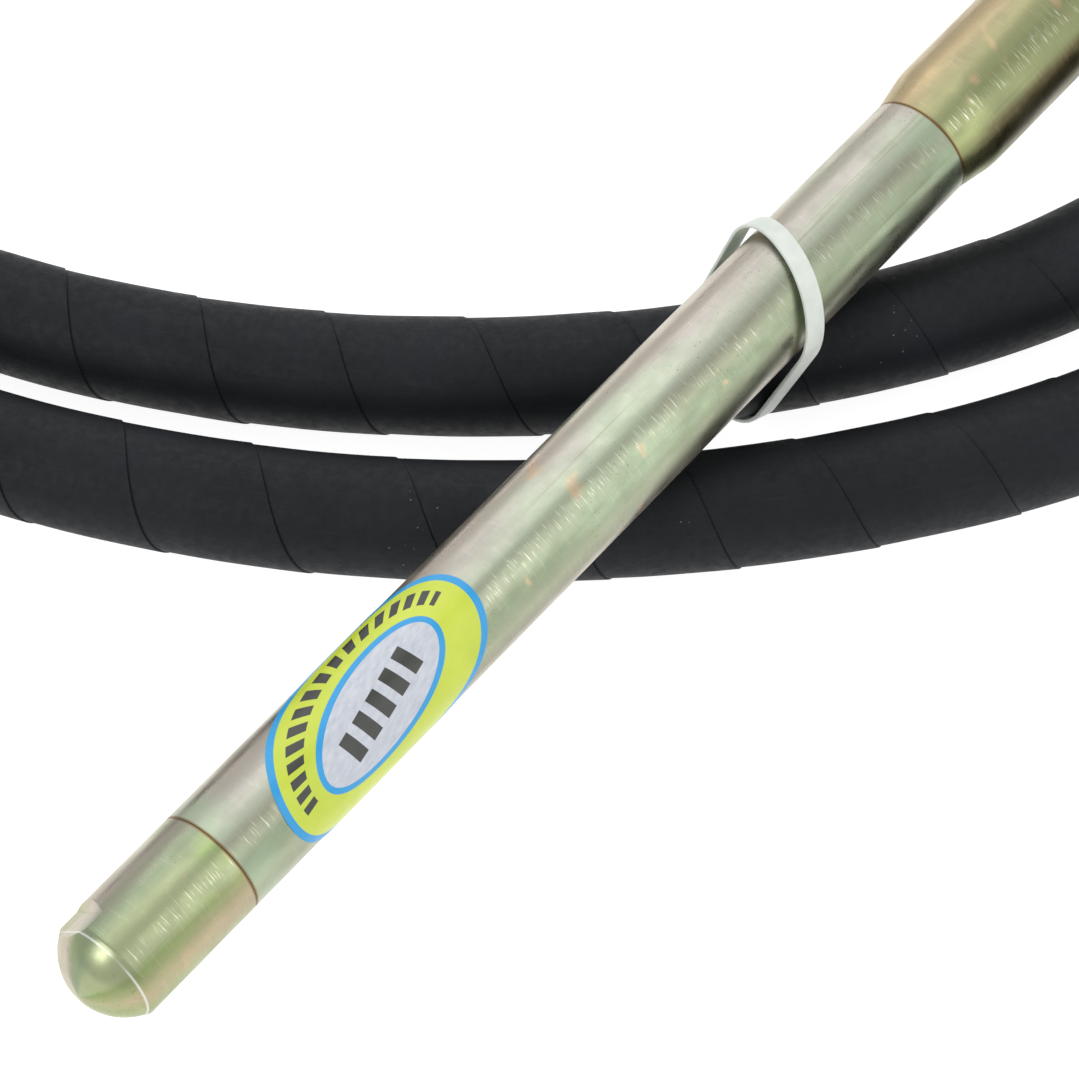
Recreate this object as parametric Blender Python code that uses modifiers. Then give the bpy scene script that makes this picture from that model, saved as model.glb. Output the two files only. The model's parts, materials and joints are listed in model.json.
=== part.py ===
"""Flexible-shaft concrete vibrator: a slim vibrating head on a rubber hose, laid down as an oval coil.

Metres, +Z up. +X runs along the head from its nose to its hose coupling, and the origin is the middle
of the head. The head lies on two turns of its own hose, and a cable tie holds it to the inner one. The
hose is coiled counter-clockwise, seen from above, and ends in the coupling that fits the drive motor.
"""

import math

import bmesh
import bpy
from mathutils import Matrix, Vector

MM = 0.001
COLLECTION = "concrete_vibrator"

# Head, outside.
HEAD_DIAMETER = 28 * MM
DOME_HEIGHT = 8 * MM
DOME_EDGE_STEP = 0.8 * MM
NOSE_LENGTH = 35 * MM
TUBE_LENGTH = 260 * MM
COUPLING_LENGTH = 77 * MM
COUPLING_TAPER = 11.5 * MM
COUPLING_WALL = 1.0 * MM
SLEEVE_ROOM = 0.1 * MM
SPANNER_FLAT_DEPTH = 2 * MM
SPANNER_FLAT_LENGTH = 6.5 * MM
SPANNER_FLAT_SLOPE = 1.8 * MM
SPANNER_TURN = math.radians(38)

# Head, inside. The tube has a spigot seat and a bearing seat at each end, and a plain bore between them.
SEAT_WALL = 3 * MM
SPIGOT_WALL = 2 * MM
BORE_WALL = 4 * MM
NOSE_SPIGOT = 14.5 * MM
COUPLING_SPIGOT = 17.5 * MM
BEARING_WIDTH = 7 * MM
JOURNAL_DIAMETER = 8 * MM
BALLS = 7
SHOULDER_STEP = 1.5 * MM
SHOULDER_LENGTH = 4 * MM
ROTOR_CLEARANCE = 1 * MM
ROTOR_CUT_HEIGHT = 1.5 * MM
WASHER_THICKNESS = 1 * MM
RING_THICKNESS = 1.2 * MM
RING_GROOVE = 0.8 * MM
SEAL_WIDTH = 6 * MM
O_RING_THICKNESS = 1.2 * MM
O_RING_FROM_SEAM = 3 * MM
POCKET_WALL = 2 * MM
RACE_STEP = 1 * MM
RACE_SHOULDER = 0.82
CAGE_HALF_THICKNESS = 0.4
CAGE_WIDTH = 2.6

# Flexible core and what drives it.
CORE_DIAMETER = 9 * MM
SOCKET_LENGTH = 20 * MM
SOCKET_WALL = 2.4 * MM
TIP_DIAMETER = 6.2 * MM
CRIMP_WALL = 0.7 * MM
CRIMP_LENGTH = 12 * MM
SOCKET_ROOM = 1.8 * MM
CORE_ROOM = 1.5 * MM
BUSH_LENGTH = 20 * MM
BUSH_FROM_CRIMP = 4 * MM
BUSH_RUN_GAP = 0.25 * MM

# Hose and cable tie.
HOSE_DIAMETER = 29.5 * MM
HOSE_SOCKET = 12 * MM
TIE_WIDTH = 4.8 * MM
TIE_THICKNESS = 1.1 * MM
TIE_SLACK = 1.3 * MM
TIE_BACK = 136 * MM
TIE_SIDE = 4.8 * MM
TIE_DIRECTION = math.radians(70)
TIE_LEAN_X = 0.14
TIE_LEAN_Y = -0.3
TIE_HEAD = (7 * MM, 7 * MM, 4.5 * MM)
TIE_HEAD_TURN = math.radians(-45)

# Label on the tube, an oval sticker.
LABEL_LENGTH = 72.5 * MM
LABEL_WIDTH = 45 * MM
LABEL_THICKNESS = 0.25 * MM
LABEL_FROM_NOSE = 51 * MM
LABEL_TURN = math.radians(119.5)
LABEL_SKEW = math.radians(-13)
LABEL_RUNGS = 26

# Machine end of the hose, measured along it from the hose's end face.
FERRULE_WALL = 2.2 * MM
FERRULE_LENGTH = 26 * MM
FERRULE_SLOPE = 2 * MM
END_BORE_ROOM = 1.2 * MM
END_SPIGOT_WALL = 2.8 * MM
END_SPIGOT_START = 8 * MM
END_NOSE_WALL = 2.6 * MM
END_NECK_STEP = 1.5 * MM
END_COLLAR_STEP = 2.5 * MM
END_COLLAR_LENGTH = 8 * MM
END_BODY_LENGTH = 54 * MM
END_NOSE_LENGTH = 12 * MM
NUT_ROOM = 1 * MM
NUT_PLAY = 2 * MM
NUT_WALL = 3.5 * MM
NUT_LENGTH = 36 * MM
NUT_FLANGE = 7 * MM
NUT_SCALLOPS = 8
NUT_SCALLOP_DIAMETER = 7 * MM
NUT_SCALLOP_OUT = 0.28
NUT_SCALLOP_FROM_END = 5 * MM
SPINDLE_DIAMETER = 10 * MM
SPINDLE_SQUARE = 7 * MM
SPINDLE_REACH = 30 * MM
SPINDLE_START = 1 * MM
SPINDLE_TAPER = 2 * MM
SPINDLE_FLANGE = 3 * MM
RING_ROOM = 1 * MM
END_BUSH_WALL = 3.3 * MM
END_BUSH_LENGTH = 16 * MM

# Gaps between pieces: along the axis, around it where nothing turns, and where something does.
FACE_GAP = 0.3 * MM
FIT_GAP = 0.1 * MM
RUN_GAP = 0.05 * MM
HOSE_SEAT_GAP = 0.25 * MM
MERGE = 0.000001

# Chamfers on turned edges.
EDGE = 1 * MM
SMALL_EDGE = 0.5 * MM
FINE_EDGE = 0.3 * MM

# Sides of a turned piece, outside and inside.
ROUND = 36
INNER_ROUND = 24

HEAD_R = HEAD_DIAMETER / 2
HOSE_R = HOSE_DIAMETER / 2
HEAD_LENGTH = DOME_HEIGHT + NOSE_LENGTH + TUBE_LENGTH + COUPLING_LENGTH
TIP_X = -HEAD_LENGTH / 2
SEAM_X = TIP_X + DOME_HEIGHT + NOSE_LENGTH
TUBE_END_X = SEAM_X + TUBE_LENGTH
HEAD_END_X = TUBE_END_X + COUPLING_LENGTH
SLEEVE_R = HOSE_R + FIT_GAP + COUPLING_WALL + SLEEVE_ROOM
HOSE_SEAT_R = SLEEVE_R - COUPLING_WALL
SPIGOT_SEAT_R = HEAD_R - SPIGOT_WALL
SPIGOT_R = SPIGOT_SEAT_R - FIT_GAP
BEARING_SEAT_R = HEAD_R - SEAT_WALL
BORE_R = HEAD_R - BORE_WALL
JOURNAL_R = JOURNAL_DIAMETER / 2

SPANNER_R = HEAD_R - SPANNER_FLAT_DEPTH
COUPLING_BORE_R = JOURNAL_R + SOCKET_WALL + SOCKET_ROOM

# Machine end, from its spindle outwards.
SPINDLE_R = SPINDLE_DIAMETER / 2
END_BORE_R = SPINDLE_R + END_BORE_ROOM
END_SPIGOT_R = END_BORE_R + END_SPIGOT_WALL
END_SEAT_R = SPINDLE_R + END_BUSH_WALL + FIT_GAP
END_NOSE_R = END_SEAT_R + END_NOSE_WALL
END_NECK_R = END_NOSE_R + END_NECK_STEP
END_COLLAR_R = END_NECK_R + END_COLLAR_STEP
NUT_BORE_R = END_COLLAR_R + NUT_ROOM
NUT_R = NUT_BORE_R + NUT_WALL
END_FACE = FERRULE_LENGTH + END_BODY_LENGTH
END_RING_Z = END_FACE - END_NOSE_LENGTH
END_BUSH_Z = END_RING_Z - FACE_GAP - END_BUSH_LENGTH
NUT_Z = END_RING_Z - END_COLLAR_LENGTH - NUT_PLAY - NUT_FLANGE

# Places along the head of what is inside it.
WASHER_X = SEAM_X + NOSE_SPIGOT + FACE_GAP
FRONT_BEARING_X = WASHER_X + WASHER_THICKNESS + FACE_GAP
FRONT_SHOULDER_X = FRONT_BEARING_X + BEARING_WIDTH + FACE_GAP
SPIGOT_FACE_X = TUBE_END_X - COUPLING_SPIGOT
SEAL_X = SPIGOT_FACE_X - FACE_GAP - SEAL_WIDTH
RING_X = SEAL_X - 2 * FACE_GAP - RING_THICKNESS
REAR_BEARING_X = RING_X - 2 * FACE_GAP - BEARING_WIDTH
REAR_SHOULDER_X = REAR_BEARING_X - FACE_GAP
SOCKET_X = SPIGOT_FACE_X + FACE_GAP
SOCKET_SPLIT_X = SOCKET_X + 0.6 * SOCKET_LENGTH
CRIMP_X = SOCKET_X + SOCKET_LENGTH + FACE_GAP
HOSE_START_X = HEAD_END_X - HOSE_SOCKET
BUSH_X = CRIMP_X + CRIMP_LENGTH + BUSH_FROM_CRIMP
COUPLING_SHOULDER_X = BUSH_X + BUSH_LENGTH + FACE_GAP

# The floor, and how high the middle of the hose lies above it.
HEAD_ON_HOSE = HEAD_R + FACE_GAP + HOSE_R
TIE_UNDER_HOSE = TIE_THICKNESS + FACE_GAP
FLOOR_Z = -(HEAD_ON_HOSE + HOSE_R + TIE_UNDER_HOSE)
HOSE_Z = FLOOR_Z + HOSE_R
END_Z = FLOOR_Z + NUT_R

# The coil is an oval spiral. Its long way lies across the head, and it grows by a step each turn.
COIL_DIRECTION = math.radians(-50)
COIL_BACK = 62.5 * MM
COIL_ASIDE = 168 * MM
COIL_HALF_LENGTH = 239 * MM
COIL_HALF_WIDTH = 171 * MM
COIL_SIDE_GAP = 12.5 * MM
COIL_FRONT_GAP = 16.5 * MM
COIL_DRIFT_ALONG = 9 * MM
COIL_DRIFT_ACROSS = 4 * MM
COIL_SQUARENESS = 3 * MM
COIL_STEPS = 36
COIL_FIRST_TURN = -0.5
COIL_POINTS = 68
RAISE_POINTS = 5

# From the head's coupling round to the coil: the way past the coupling, the way aside, and the share of
# the drop to the floor.
LEAD_IN = [
    (8, 0, 0),
    (29, 1.5, 0.01),
    (63, 11.5, 0.10),
    (98.5, 38, 0.28),
    (122, 78, 0.50),
    (128.5, 120.5, 0.72),
    (122.5, 160.5, 0.89),
    (105.5, 200.5, 0.98),
    (78.5, 236, 1),
]

STEEL_ZINC = ("zinc_plated_steel", (0.56, 0.53, 0.36), 0.34, 1.0)
STEEL_BRIGHT = ("bearing_steel", (0.62, 0.63, 0.65), 0.22, 1.0)
STEEL_WIRE = ("core_wire", (0.34, 0.34, 0.35), 0.42, 1.0)
BRONZE = ("bush_bronze", (0.62, 0.42, 0.2), 0.36, 1.0)
RUBBER = ("seal_rubber", (0.02, 0.02, 0.022), 0.6, 0.0)
HOSE_RUBBER = ("hose_rubber", (0.02, 0.023, 0.028), 0.75, 0.0)
NYLON = ("natural_nylon", (0.75, 0.77, 0.75), 0.4, 0.0)
PAPER = ("label_film", (0.6, 0.7, 0.05), 0.35, 0.0)


# Building tools.


def clear_scene():
    for obj in list(bpy.data.objects):
        bpy.data.objects.remove(obj)


def make_collection(name):
    made = bpy.data.collections.new(name)
    bpy.context.scene.collection.children.link(made)
    return made


def give_material(obj, finish):
    kind, color, roughness, metallic = finish
    material = bpy.data.materials.new(f"{obj.name}_{kind}")
    material.use_nodes = True
    shader = material.node_tree.nodes["Principled BSDF"]
    shader.inputs["Base Color"].default_value = (*color, 1)
    shader.inputs["Roughness"].default_value = roughness
    shader.inputs["Metallic"].default_value = metallic
    obj.data.materials.append(material)


def add_piece(name, data, finish, holder, place):
    obj = bpy.data.objects.new(name, data)
    PARTS.objects.link(obj)
    obj.parent = holder
    obj.matrix_local = place
    give_material(obj, finish)
    return obj


def add_cutter(name, data, holder, place=Matrix.Identity(4)):
    obj = bpy.data.objects.new(name, data)
    CUTTERS.objects.link(obj)
    obj.hide_render = True
    obj.display_type = "WIRE"
    obj.parent = holder
    obj.matrix_local = place
    return obj


def add_empty(name, matrix):
    obj = bpy.data.objects.new(name, None)
    PARTS.objects.link(obj)
    obj.matrix_world = matrix
    return obj


def combine(obj, other, operation):
    modifier = obj.modifiers.new(operation.lower(), "BOOLEAN")
    modifier.operation = operation
    modifier.solver = "EXACT"
    modifier.object = other


def profile_mesh(name, profile, closed):
    """Edges along (radius, height) points, for a Screw modifier."""
    mesh = bpy.data.meshes.new(name)
    count = len(profile)
    edges = [(i, i + 1) for i in range(count - 1)] + ([(count - 1, 0)] if closed else [])
    mesh.from_pydata([(r, 0, z) for r, z in profile], edges, [])
    return mesh


def spin_profile(obj, sides):
    screw = obj.modifiers.new("turn", "SCREW")
    screw.steps = sides
    screw.render_steps = sides
    screw.use_merge_vertices = True
    screw.merge_threshold = 10 * MERGE
    screw.use_smooth_shade = False


def add_turned(name, profile, finish, holder, along, sides=INNER_ROUND):
    """A turned piece. Its profile runs down the outer side, and is a loop unless it starts on the axis."""
    on_axis = profile[0][0] == 0
    mesh = profile_mesh(name, profile, not on_axis)
    obj = add_piece(name, mesh, finish, holder, Matrix.Translation((0, 0, along)))
    spin_profile(obj, sides)
    return obj


def ring_profile(outer, inner, length):
    return [(outer, length), (outer, 0), (inner, 0), (inner, length)]


def disc_mesh(name, radius, length, sides=INNER_ROUND):
    """A cylinder that stands on the origin."""
    mesh = bpy.data.meshes.new(name)
    shape = bmesh.new()
    bmesh.ops.create_cone(
        shape, cap_ends=True, segments=sides, radius1=radius, radius2=radius, depth=length,
        matrix=Matrix.Translation((0, 0, length / 2)),
    )
    shape.to_mesh(mesh)
    shape.free()
    return mesh


def box_mesh(name, size, centre=(0, 0, 0)):
    mesh = bpy.data.meshes.new(name)
    shape = bmesh.new()
    bmesh.ops.create_cube(shape, matrix=Matrix.Translation(centre) @ Matrix.Diagonal((*size, 1)))
    shape.to_mesh(mesh)
    shape.free()
    return mesh


def add_o_ring(name, middle_radius, holder, along):
    thick = O_RING_THICKNESS / 2
    corners = [math.tau * k / 6 for k in range(6)]
    profile = [(middle_radius + thick * math.sin(a), thick * math.cos(a)) for a in corners]
    return add_turned(name, profile, RUBBER, holder, along)


# Vibrating head. Its pieces stand on the head's axis, nose down, so their heights are places along +X.


def dome_points():
    """The nose's dome from its edge to its tip, a shallow cap that meets the side at a crease."""
    edge = HEAD_R - DOME_EDGE_STEP
    sphere = (edge**2 + DOME_HEIGHT**2) / (2 * DOME_HEIGHT)
    widest = math.asin(min(1, edge / sphere))
    angles = [widest * (1 - k / 8) for k in range(9)]
    return [(sphere * math.sin(a), sphere - sphere * math.cos(a)) for a in angles[:-1]] + [(0, 0)]


def spanner_cutter():
    """A block that cuts the spanner flat into the nose, with a sloping end wall."""
    mesh = box_mesh("spanner_cutter", (HEAD_R, HEAD_DIAMETER, 2 * SPANNER_FLAT_LENGTH))
    mesh.transform(Matrix.Translation((SPANNER_R + HEAD_R / 2, 0, DOME_HEIGHT)))
    for vertex in mesh.vertices:
        if vertex.co.z > DOME_HEIGHT and vertex.co.x > HEAD_R:
            vertex.co.z += SPANNER_FLAT_SLOPE * HEAD_R / SPANNER_FLAT_DEPTH
    turn = Matrix.Rotation(SPANNER_TURN + math.pi / 2, 4, "Z")
    return add_cutter("spanner_cutter", mesh, HEAD, Matrix.Translation((0, 0, TIP_X)) @ turn)


def add_nose():
    length = HEAD_LENGTH / 2 + SEAM_X
    spigot_end = length + NOSE_SPIGOT
    pocket_r = JOURNAL_R + POCKET_WALL
    groove_low = length + O_RING_FROM_SEAM
    groove_high = groove_low + O_RING_THICKNESS + 2 * FACE_GAP
    groove_r = SPIGOT_R - O_RING_THICKNESS - FIT_GAP
    profile = [
        (0, length), (pocket_r, length), (pocket_r, spigot_end), (SPIGOT_R, spigot_end),
        (SPIGOT_R, groove_high), (groove_r, groove_high), (groove_r, groove_low), (SPIGOT_R, groove_low),
        (SPIGOT_R, length), (HEAD_R, length), (HEAD_R, DOME_HEIGHT + SMALL_EDGE),
        (HEAD_R - FINE_EDGE, DOME_HEIGHT), *dome_points(),
    ]
    nose = add_turned("nose_cap", profile, STEEL_ZINC, HEAD, TIP_X, ROUND)
    combine(nose, spanner_cutter(), "DIFFERENCE")
    middle = groove_r + FIT_GAP + O_RING_THICKNESS / 2
    add_o_ring("nose_o_ring", middle, HEAD, TIP_X + (groove_low + groove_high) / 2)


def add_tube():
    start = SEAM_X + FACE_GAP
    ends = [
        (HEAD_R, TUBE_END_X), (HEAD_R, start), (SPIGOT_SEAT_R, start),
        (SPIGOT_SEAT_R, WASHER_X - FACE_GAP / 2), (BEARING_SEAT_R, WASHER_X - FACE_GAP / 2),
        (BEARING_SEAT_R, FRONT_SHOULDER_X), (BORE_R, FRONT_SHOULDER_X),
        (BORE_R, REAR_SHOULDER_X), (BEARING_SEAT_R, REAR_SHOULDER_X),
        (BEARING_SEAT_R, RING_X - FACE_GAP), (BEARING_SEAT_R + RING_GROOVE, RING_X - FACE_GAP),
        (BEARING_SEAT_R + RING_GROOVE, RING_X + RING_THICKNESS + FACE_GAP),
        (BEARING_SEAT_R, RING_X + RING_THICKNESS + FACE_GAP),
        (BEARING_SEAT_R, SPIGOT_FACE_X - FACE_GAP), (SPIGOT_SEAT_R, SPIGOT_FACE_X - FACE_GAP),
        (SPIGOT_SEAT_R, TUBE_END_X),
    ]
    add_turned("vibrator_tube", [(r, x - start) for r, x in ends], STEEL_ZINC, HEAD, start, ROUND)


def bearing_sizes():
    """(outer ring's outside, inner ring's hole, circle of the balls' centres, ball radius)"""
    outside = BEARING_SEAT_R - FIT_GAP
    hole = JOURNAL_R + RUN_GAP
    return outside, hole, (outside + hole) / 2, (outside - hole) / 4


def ring_with_race(near, far, race, up):
    """A bearing ring's outline: far is its plain side, near the side with the balls' groove."""
    low, high = BEARING_WIDTH / 2 - race[1], BEARING_WIDTH / 2 + race[1]
    groove = [(near, BEARING_WIDTH), (near, high), (race[0], high), (race[0], low), (near, low), (near, 0)]
    plain = [(far, 0), (far, BEARING_WIDTH)]
    return groove + plain if up else plain[::-1] + groove[::-1]


def add_bearing(place, along, turning, cage_holder):
    outside, hole, pitch, ball = bearing_sizes()
    reach = ball + 3 * FIT_GAP
    shoulder = RACE_SHOULDER * ball
    outer = ring_with_race(pitch + shoulder, outside, (pitch + reach, reach), False)
    inner = ring_with_race(pitch - shoulder, hole, (pitch - reach, reach), True)
    add_turned(f"{place}_bearing_outer_ring", outer, STEEL_BRIGHT, HEAD, along)
    add_turned(f"{place}_bearing_inner_ring", inner, STEEL_BRIGHT, turning, along)
    cage_width = CAGE_WIDTH * ball
    cage_half = CAGE_HALF_THICKNESS * ball
    cage = add_turned(
        f"{place}_bearing_ball_cage", ring_profile(pitch + cage_half, pitch - cage_half, cage_width),
        STEEL_BRIGHT, cage_holder, along + (BEARING_WIDTH - cage_width) / 2,
    )
    for k in range(BALLS):
        mesh = bpy.data.meshes.new("ball")
        shape = bmesh.new()
        spot = Matrix.Rotation(math.tau * k / BALLS, 4, "Z") @ Matrix.Translation((pitch, 0, 0))
        bmesh.ops.create_uvsphere(shape, u_segments=8, v_segments=5, radius=ball, matrix=spot)
        shape.to_mesh(mesh)
        shape.free()
        middle = Matrix.Translation((0, 0, along + BEARING_WIDTH / 2))
        combine(cage, add_cutter(f"{place}_ball_{k}", mesh, cage_holder, middle), "UNION")


def add_rotor():
    mass_r = BORE_R - ROTOR_CLEARANCE
    shoulder_r = JOURNAL_R + SHOULDER_STEP
    start, end = FRONT_BEARING_X - FACE_GAP, SOCKET_SPLIT_X - FACE_GAP
    front, rear = FRONT_SHOULDER_X + FACE_GAP, REAR_SHOULDER_X - FACE_GAP
    mass_start, mass_end = front + SHOULDER_LENGTH, rear - SHOULDER_LENGTH
    steps = [
        (0, end), (JOURNAL_R, end), (JOURNAL_R, rear), (shoulder_r, rear), (shoulder_r, mass_end),
        (mass_r, mass_end), (mass_r, mass_start), (shoulder_r, mass_start), (shoulder_r, front),
        (JOURNAL_R, front), (JOURNAL_R, start), (0, start),
    ]
    rotor = add_turned("eccentric_rotor", [(r, x - start) for r, x in steps], STEEL_BRIGHT, ROTOR, start)
    length = mass_end - mass_start
    block_centre = (-HEAD_R - ROTOR_CUT_HEIGHT, 0, mass_start + length / 2)
    block = box_mesh("rotor_cutter", (2 * HEAD_R, 2 * HEAD_R, length), block_centre)
    # The milled side is uppermost, towards the holder's -X.
    core = disc_mesh("rotor_core", JOURNAL_R, length + 2 * EDGE)
    core.transform(Matrix.Translation((0, 0, mass_start - EDGE)))
    combine(rotor, add_cutter("rotor_cutter", block, ROTOR), "DIFFERENCE")
    combine(rotor, add_cutter("rotor_core", core, ROTOR), "UNION")


def add_head_fittings():
    outside, _, pitch, _ = bearing_sizes()
    washer = ring_profile(outside, pitch + RACE_STEP, WASHER_THICKNESS)
    add_turned("bearing_wave_washer", washer, STEEL_BRIGHT, HEAD, WASHER_X)
    groove_bottom = BEARING_SEAT_R + RING_GROOVE - FIT_GAP
    ring = ring_profile(groove_bottom, pitch + RACE_STEP, RING_THICKNESS)
    add_turned("bearing_retaining_ring", ring, STEEL_BRIGHT, HEAD, RING_X)
    lip = JOURNAL_R + RUN_GAP
    middle = (outside + lip) / 2
    seal = [
        (outside, SEAL_WIDTH), (outside, 0), (lip, 0), (lip, SEAL_WIDTH / 3),
        (middle, SEAL_WIDTH / 3), (middle, SEAL_WIDTH),
    ]
    add_turned("shaft_seal", seal, RUBBER, HEAD, SEAL_X)


def add_core():
    socket_r = JOURNAL_R + SOCKET_WALL
    tip_r = TIP_DIAMETER / 2
    core_r = CORE_DIAMETER / 2
    split = SOCKET_SPLIT_X - SOCKET_X
    socket = [
        (socket_r, SOCKET_LENGTH), (socket_r, 0), (JOURNAL_R + RUN_GAP, 0), (JOURNAL_R + RUN_GAP, split),
        (tip_r + RUN_GAP, split), (tip_r + RUN_GAP, SOCKET_LENGTH),
    ]
    add_turned("drive_socket", socket, STEEL_BRIGHT, ROTOR, SOCKET_X)
    tip_start = SOCKET_SPLIT_X + FACE_GAP
    crimp_r = core_r + FIT_GAP + CRIMP_WALL
    low, high = CRIMP_X - tip_start, CRIMP_X + CRIMP_LENGTH - tip_start
    floor = low + CRIMP_LENGTH / 3
    tip = [
        (0, floor), (core_r + FIT_GAP, floor), (core_r + FIT_GAP, high), (crimp_r, high), (crimp_r, low),
        (tip_r, low), (tip_r, 0), (0, 0),
    ]
    add_turned("core_end_tip", tip, STEEL_BRIGHT, ROTOR, tip_start)
    core_start = tip_start + floor + FACE_GAP
    core_length = HOSE_START_X - FACE_GAP - core_start
    core = [(0, core_length), (core_r, core_length), (core_r, 0), (0, 0)]
    add_turned("flexible_core", core, STEEL_WIRE, ROTOR, core_start)


def add_hose_coupling():
    start = SPIGOT_FACE_X
    seam = TUBE_END_X + FACE_GAP
    bore_r = COUPLING_BORE_R
    throat_r = CORE_DIAMETER / 2 + CORE_ROOM
    groove_high = TUBE_END_X - O_RING_FROM_SEAM
    groove_low = groove_high - O_RING_THICKNESS - 2 * FACE_GAP
    groove_r = SPIGOT_R - O_RING_THICKNESS - FIT_GAP
    outline = [
        (SLEEVE_R - FINE_EDGE, HEAD_END_X), (SLEEVE_R, HEAD_END_X - SMALL_EDGE),
        (SLEEVE_R, seam + COUPLING_TAPER), (HEAD_R, seam), (SPIGOT_R, seam),
        (SPIGOT_R, groove_high), (groove_r, groove_high), (groove_r, groove_low), (SPIGOT_R, groove_low),
        (SPIGOT_R, start), (bore_r, start), (bore_r, COUPLING_SHOULDER_X),
        (throat_r, COUPLING_SHOULDER_X), (throat_r, HOSE_START_X - FACE_GAP),
        (HOSE_SEAT_R, HOSE_START_X - FACE_GAP), (HOSE_SEAT_R, HEAD_END_X),
    ]
    add_turned("hose_coupling", [(r, x - start) for r, x in outline], STEEL_ZINC, HEAD, start, ROUND)
    middle = groove_r + FIT_GAP + O_RING_THICKNESS / 2
    add_o_ring("coupling_o_ring", middle, HEAD, (groove_low + groove_high) / 2)
    bush = ring_profile(bore_r - FIT_GAP, CORE_DIAMETER / 2 + BUSH_RUN_GAP, BUSH_LENGTH)
    add_turned("core_guide_bush", bush, BRONZE, HEAD, BUSH_X)


def add_label():
    """An oval patch of film wrapped round the tube, as rungs along it between the oval's two sides."""
    radius = HEAD_R + FIT_GAP
    long_side, wide_side = LABEL_LENGTH / 2, LABEL_WIDTH / 2
    cos, sin = math.cos(LABEL_SKEW), math.sin(LABEL_SKEW)
    along_term = (cos / long_side) ** 2 + (sin / wide_side) ** 2
    mixed_term = cos * sin * (1 / long_side**2 - 1 / wide_side**2)
    reach = math.hypot(long_side * sin, wide_side * cos)
    shape = bmesh.new()
    rungs = []
    for k in range(LABEL_RUNGS + 1):
        around = -reach * math.cos(math.pi * k / LABEL_RUNGS)
        half = math.sqrt(max(0, 1 - (around / reach) ** 2)) / math.sqrt(along_term)
        middle = SEAM_X + LABEL_FROM_NOSE - mixed_term / along_term * around
        angle = LABEL_TURN + around / radius
        ends = (middle - half, middle + half) if half > FIT_GAP else (middle,)
        y, z = radius * math.cos(angle), radius * math.sin(angle)
        rungs.append([shape.verts.new((x, y, z)) for x in ends])
    for low, high in zip(rungs, rungs[1:]):
        shape.faces.new([*low, *high[::-1]])
    bmesh.ops.recalc_face_normals(shape, faces=shape.faces)
    mesh = bpy.data.meshes.new("tube_label")
    shape.to_mesh(mesh)
    shape.free()
    label = add_piece("tube_label", mesh, PAPER, None, Matrix.Identity(4))
    film = label.modifiers.new("film", "SOLIDIFY")
    film.thickness = LABEL_THICKNESS
    film.offset = 1


# Hose.


def coil_point(turn):
    """The middle of the hose on the coil. Turn 0 is the inner turn's front, which passes under the head."""
    angle = math.tau * turn - math.pi / 2
    half_length = COIL_HALF_LENGTH + (HOSE_DIAMETER + COIL_SIDE_GAP) * turn
    half_width = COIL_HALF_WIDTH + (HOSE_DIAMETER + COIL_FRONT_GAP) * turn
    along = COIL_DRIFT_ALONG * turn + half_length * math.cos(angle)
    across = COIL_DRIFT_ACROSS * turn + half_width * math.sin(angle)
    across += COIL_SQUARENESS * math.sin(3 * angle)
    place = Matrix.Rotation(COIL_DIRECTION, 3, "Z") @ Vector((along, across, 0))
    return place + Vector((HEAD_END_X - COIL_BACK, COIL_ASIDE, HOSE_Z))


def route_controls():
    """The points that shape the hose's middle line, from the head's coupling to the machine end."""
    start = [Vector((HOSE_START_X, 0, 0))]
    lead = [Vector((HEAD_END_X + x * MM, y * MM, HOSE_Z * share)) for x, y, share in LEAD_IN]
    coil = [coil_point(COIL_FIRST_TURN + k / COIL_STEPS) for k in range(COIL_POINTS)]
    for k in range(RAISE_POINTS):
        share = (RAISE_POINTS - k) / RAISE_POINTS
        coil[-1 - k].z += (END_Z - HOSE_Z) * share * share * (3 - 2 * share)
    return start + lead + coil


def smooth_route(controls, steps):
    """A uniform cubic B-spline through the route, which ends on its first and last points."""
    points = [2 * controls[0] - controls[1], *controls, 2 * controls[-1] - controls[-2]]
    line = []
    for a, b, c, d in zip(points, points[1:], points[2:], points[3:]):
        for k in range(steps):
            t = k / steps
            ahead = (1 + 3 * t + 3 * t**2 - 3 * t**3) * c + t**3 * d
            line.append(((1 - t) ** 3 * a + (3 * t**3 - 6 * t**2 + 4) * b + ahead) / 6)
    return [*line, controls[-1].copy()]


def points_at(line, distances):
    """Points at these distances along a line of points."""
    points, walked, due = [], 0, list(distances)
    for a, b in zip(line, line[1:]):
        stretch = (b - a).length
        while due and due[0] <= walked + stretch:
            points.append(a.lerp(b, (due.pop(0) - walked) / stretch))
        walked += stretch
    return points


def hose_line(spacing):
    """Points about one spacing apart along the hose, with the tie midway between two of them."""
    line = smooth_route(route_controls(), 12)
    under_head = crossing_under_head(line)[0]
    near = min(range(len(line)), key=lambda k: (line[k] - under_head).length)
    tie_at = sum((b - a).length for a, b in zip(line[:near], line[1:]))
    length = tie_at + sum((b - a).length for a, b in zip(line[near:], line[near + 1:]))
    before = round(tie_at / spacing - 0.5)
    step = tie_at / (before + 0.5)
    start = tie_at + step / 2
    after = round((length - start) / spacing)
    distances = [0, 2 * HOSE_SOCKET, *(step * k for k in range(1, before + 1))]
    distances += [start + (length - start) / after * k for k in range(after)]
    points = [*points_at(line, distances), line[-1].copy()]
    for point in points:
        away = (point.xy - under_head.xy).length / (4 * HOSE_DIAMETER)
        # The hose rides over the strap of the tie, and settles on the floor a few diameters away.
        point.z += TIE_UNDER_HOSE * (1 - away * away) ** 2 if away < 1 else 0
    return points


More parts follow.
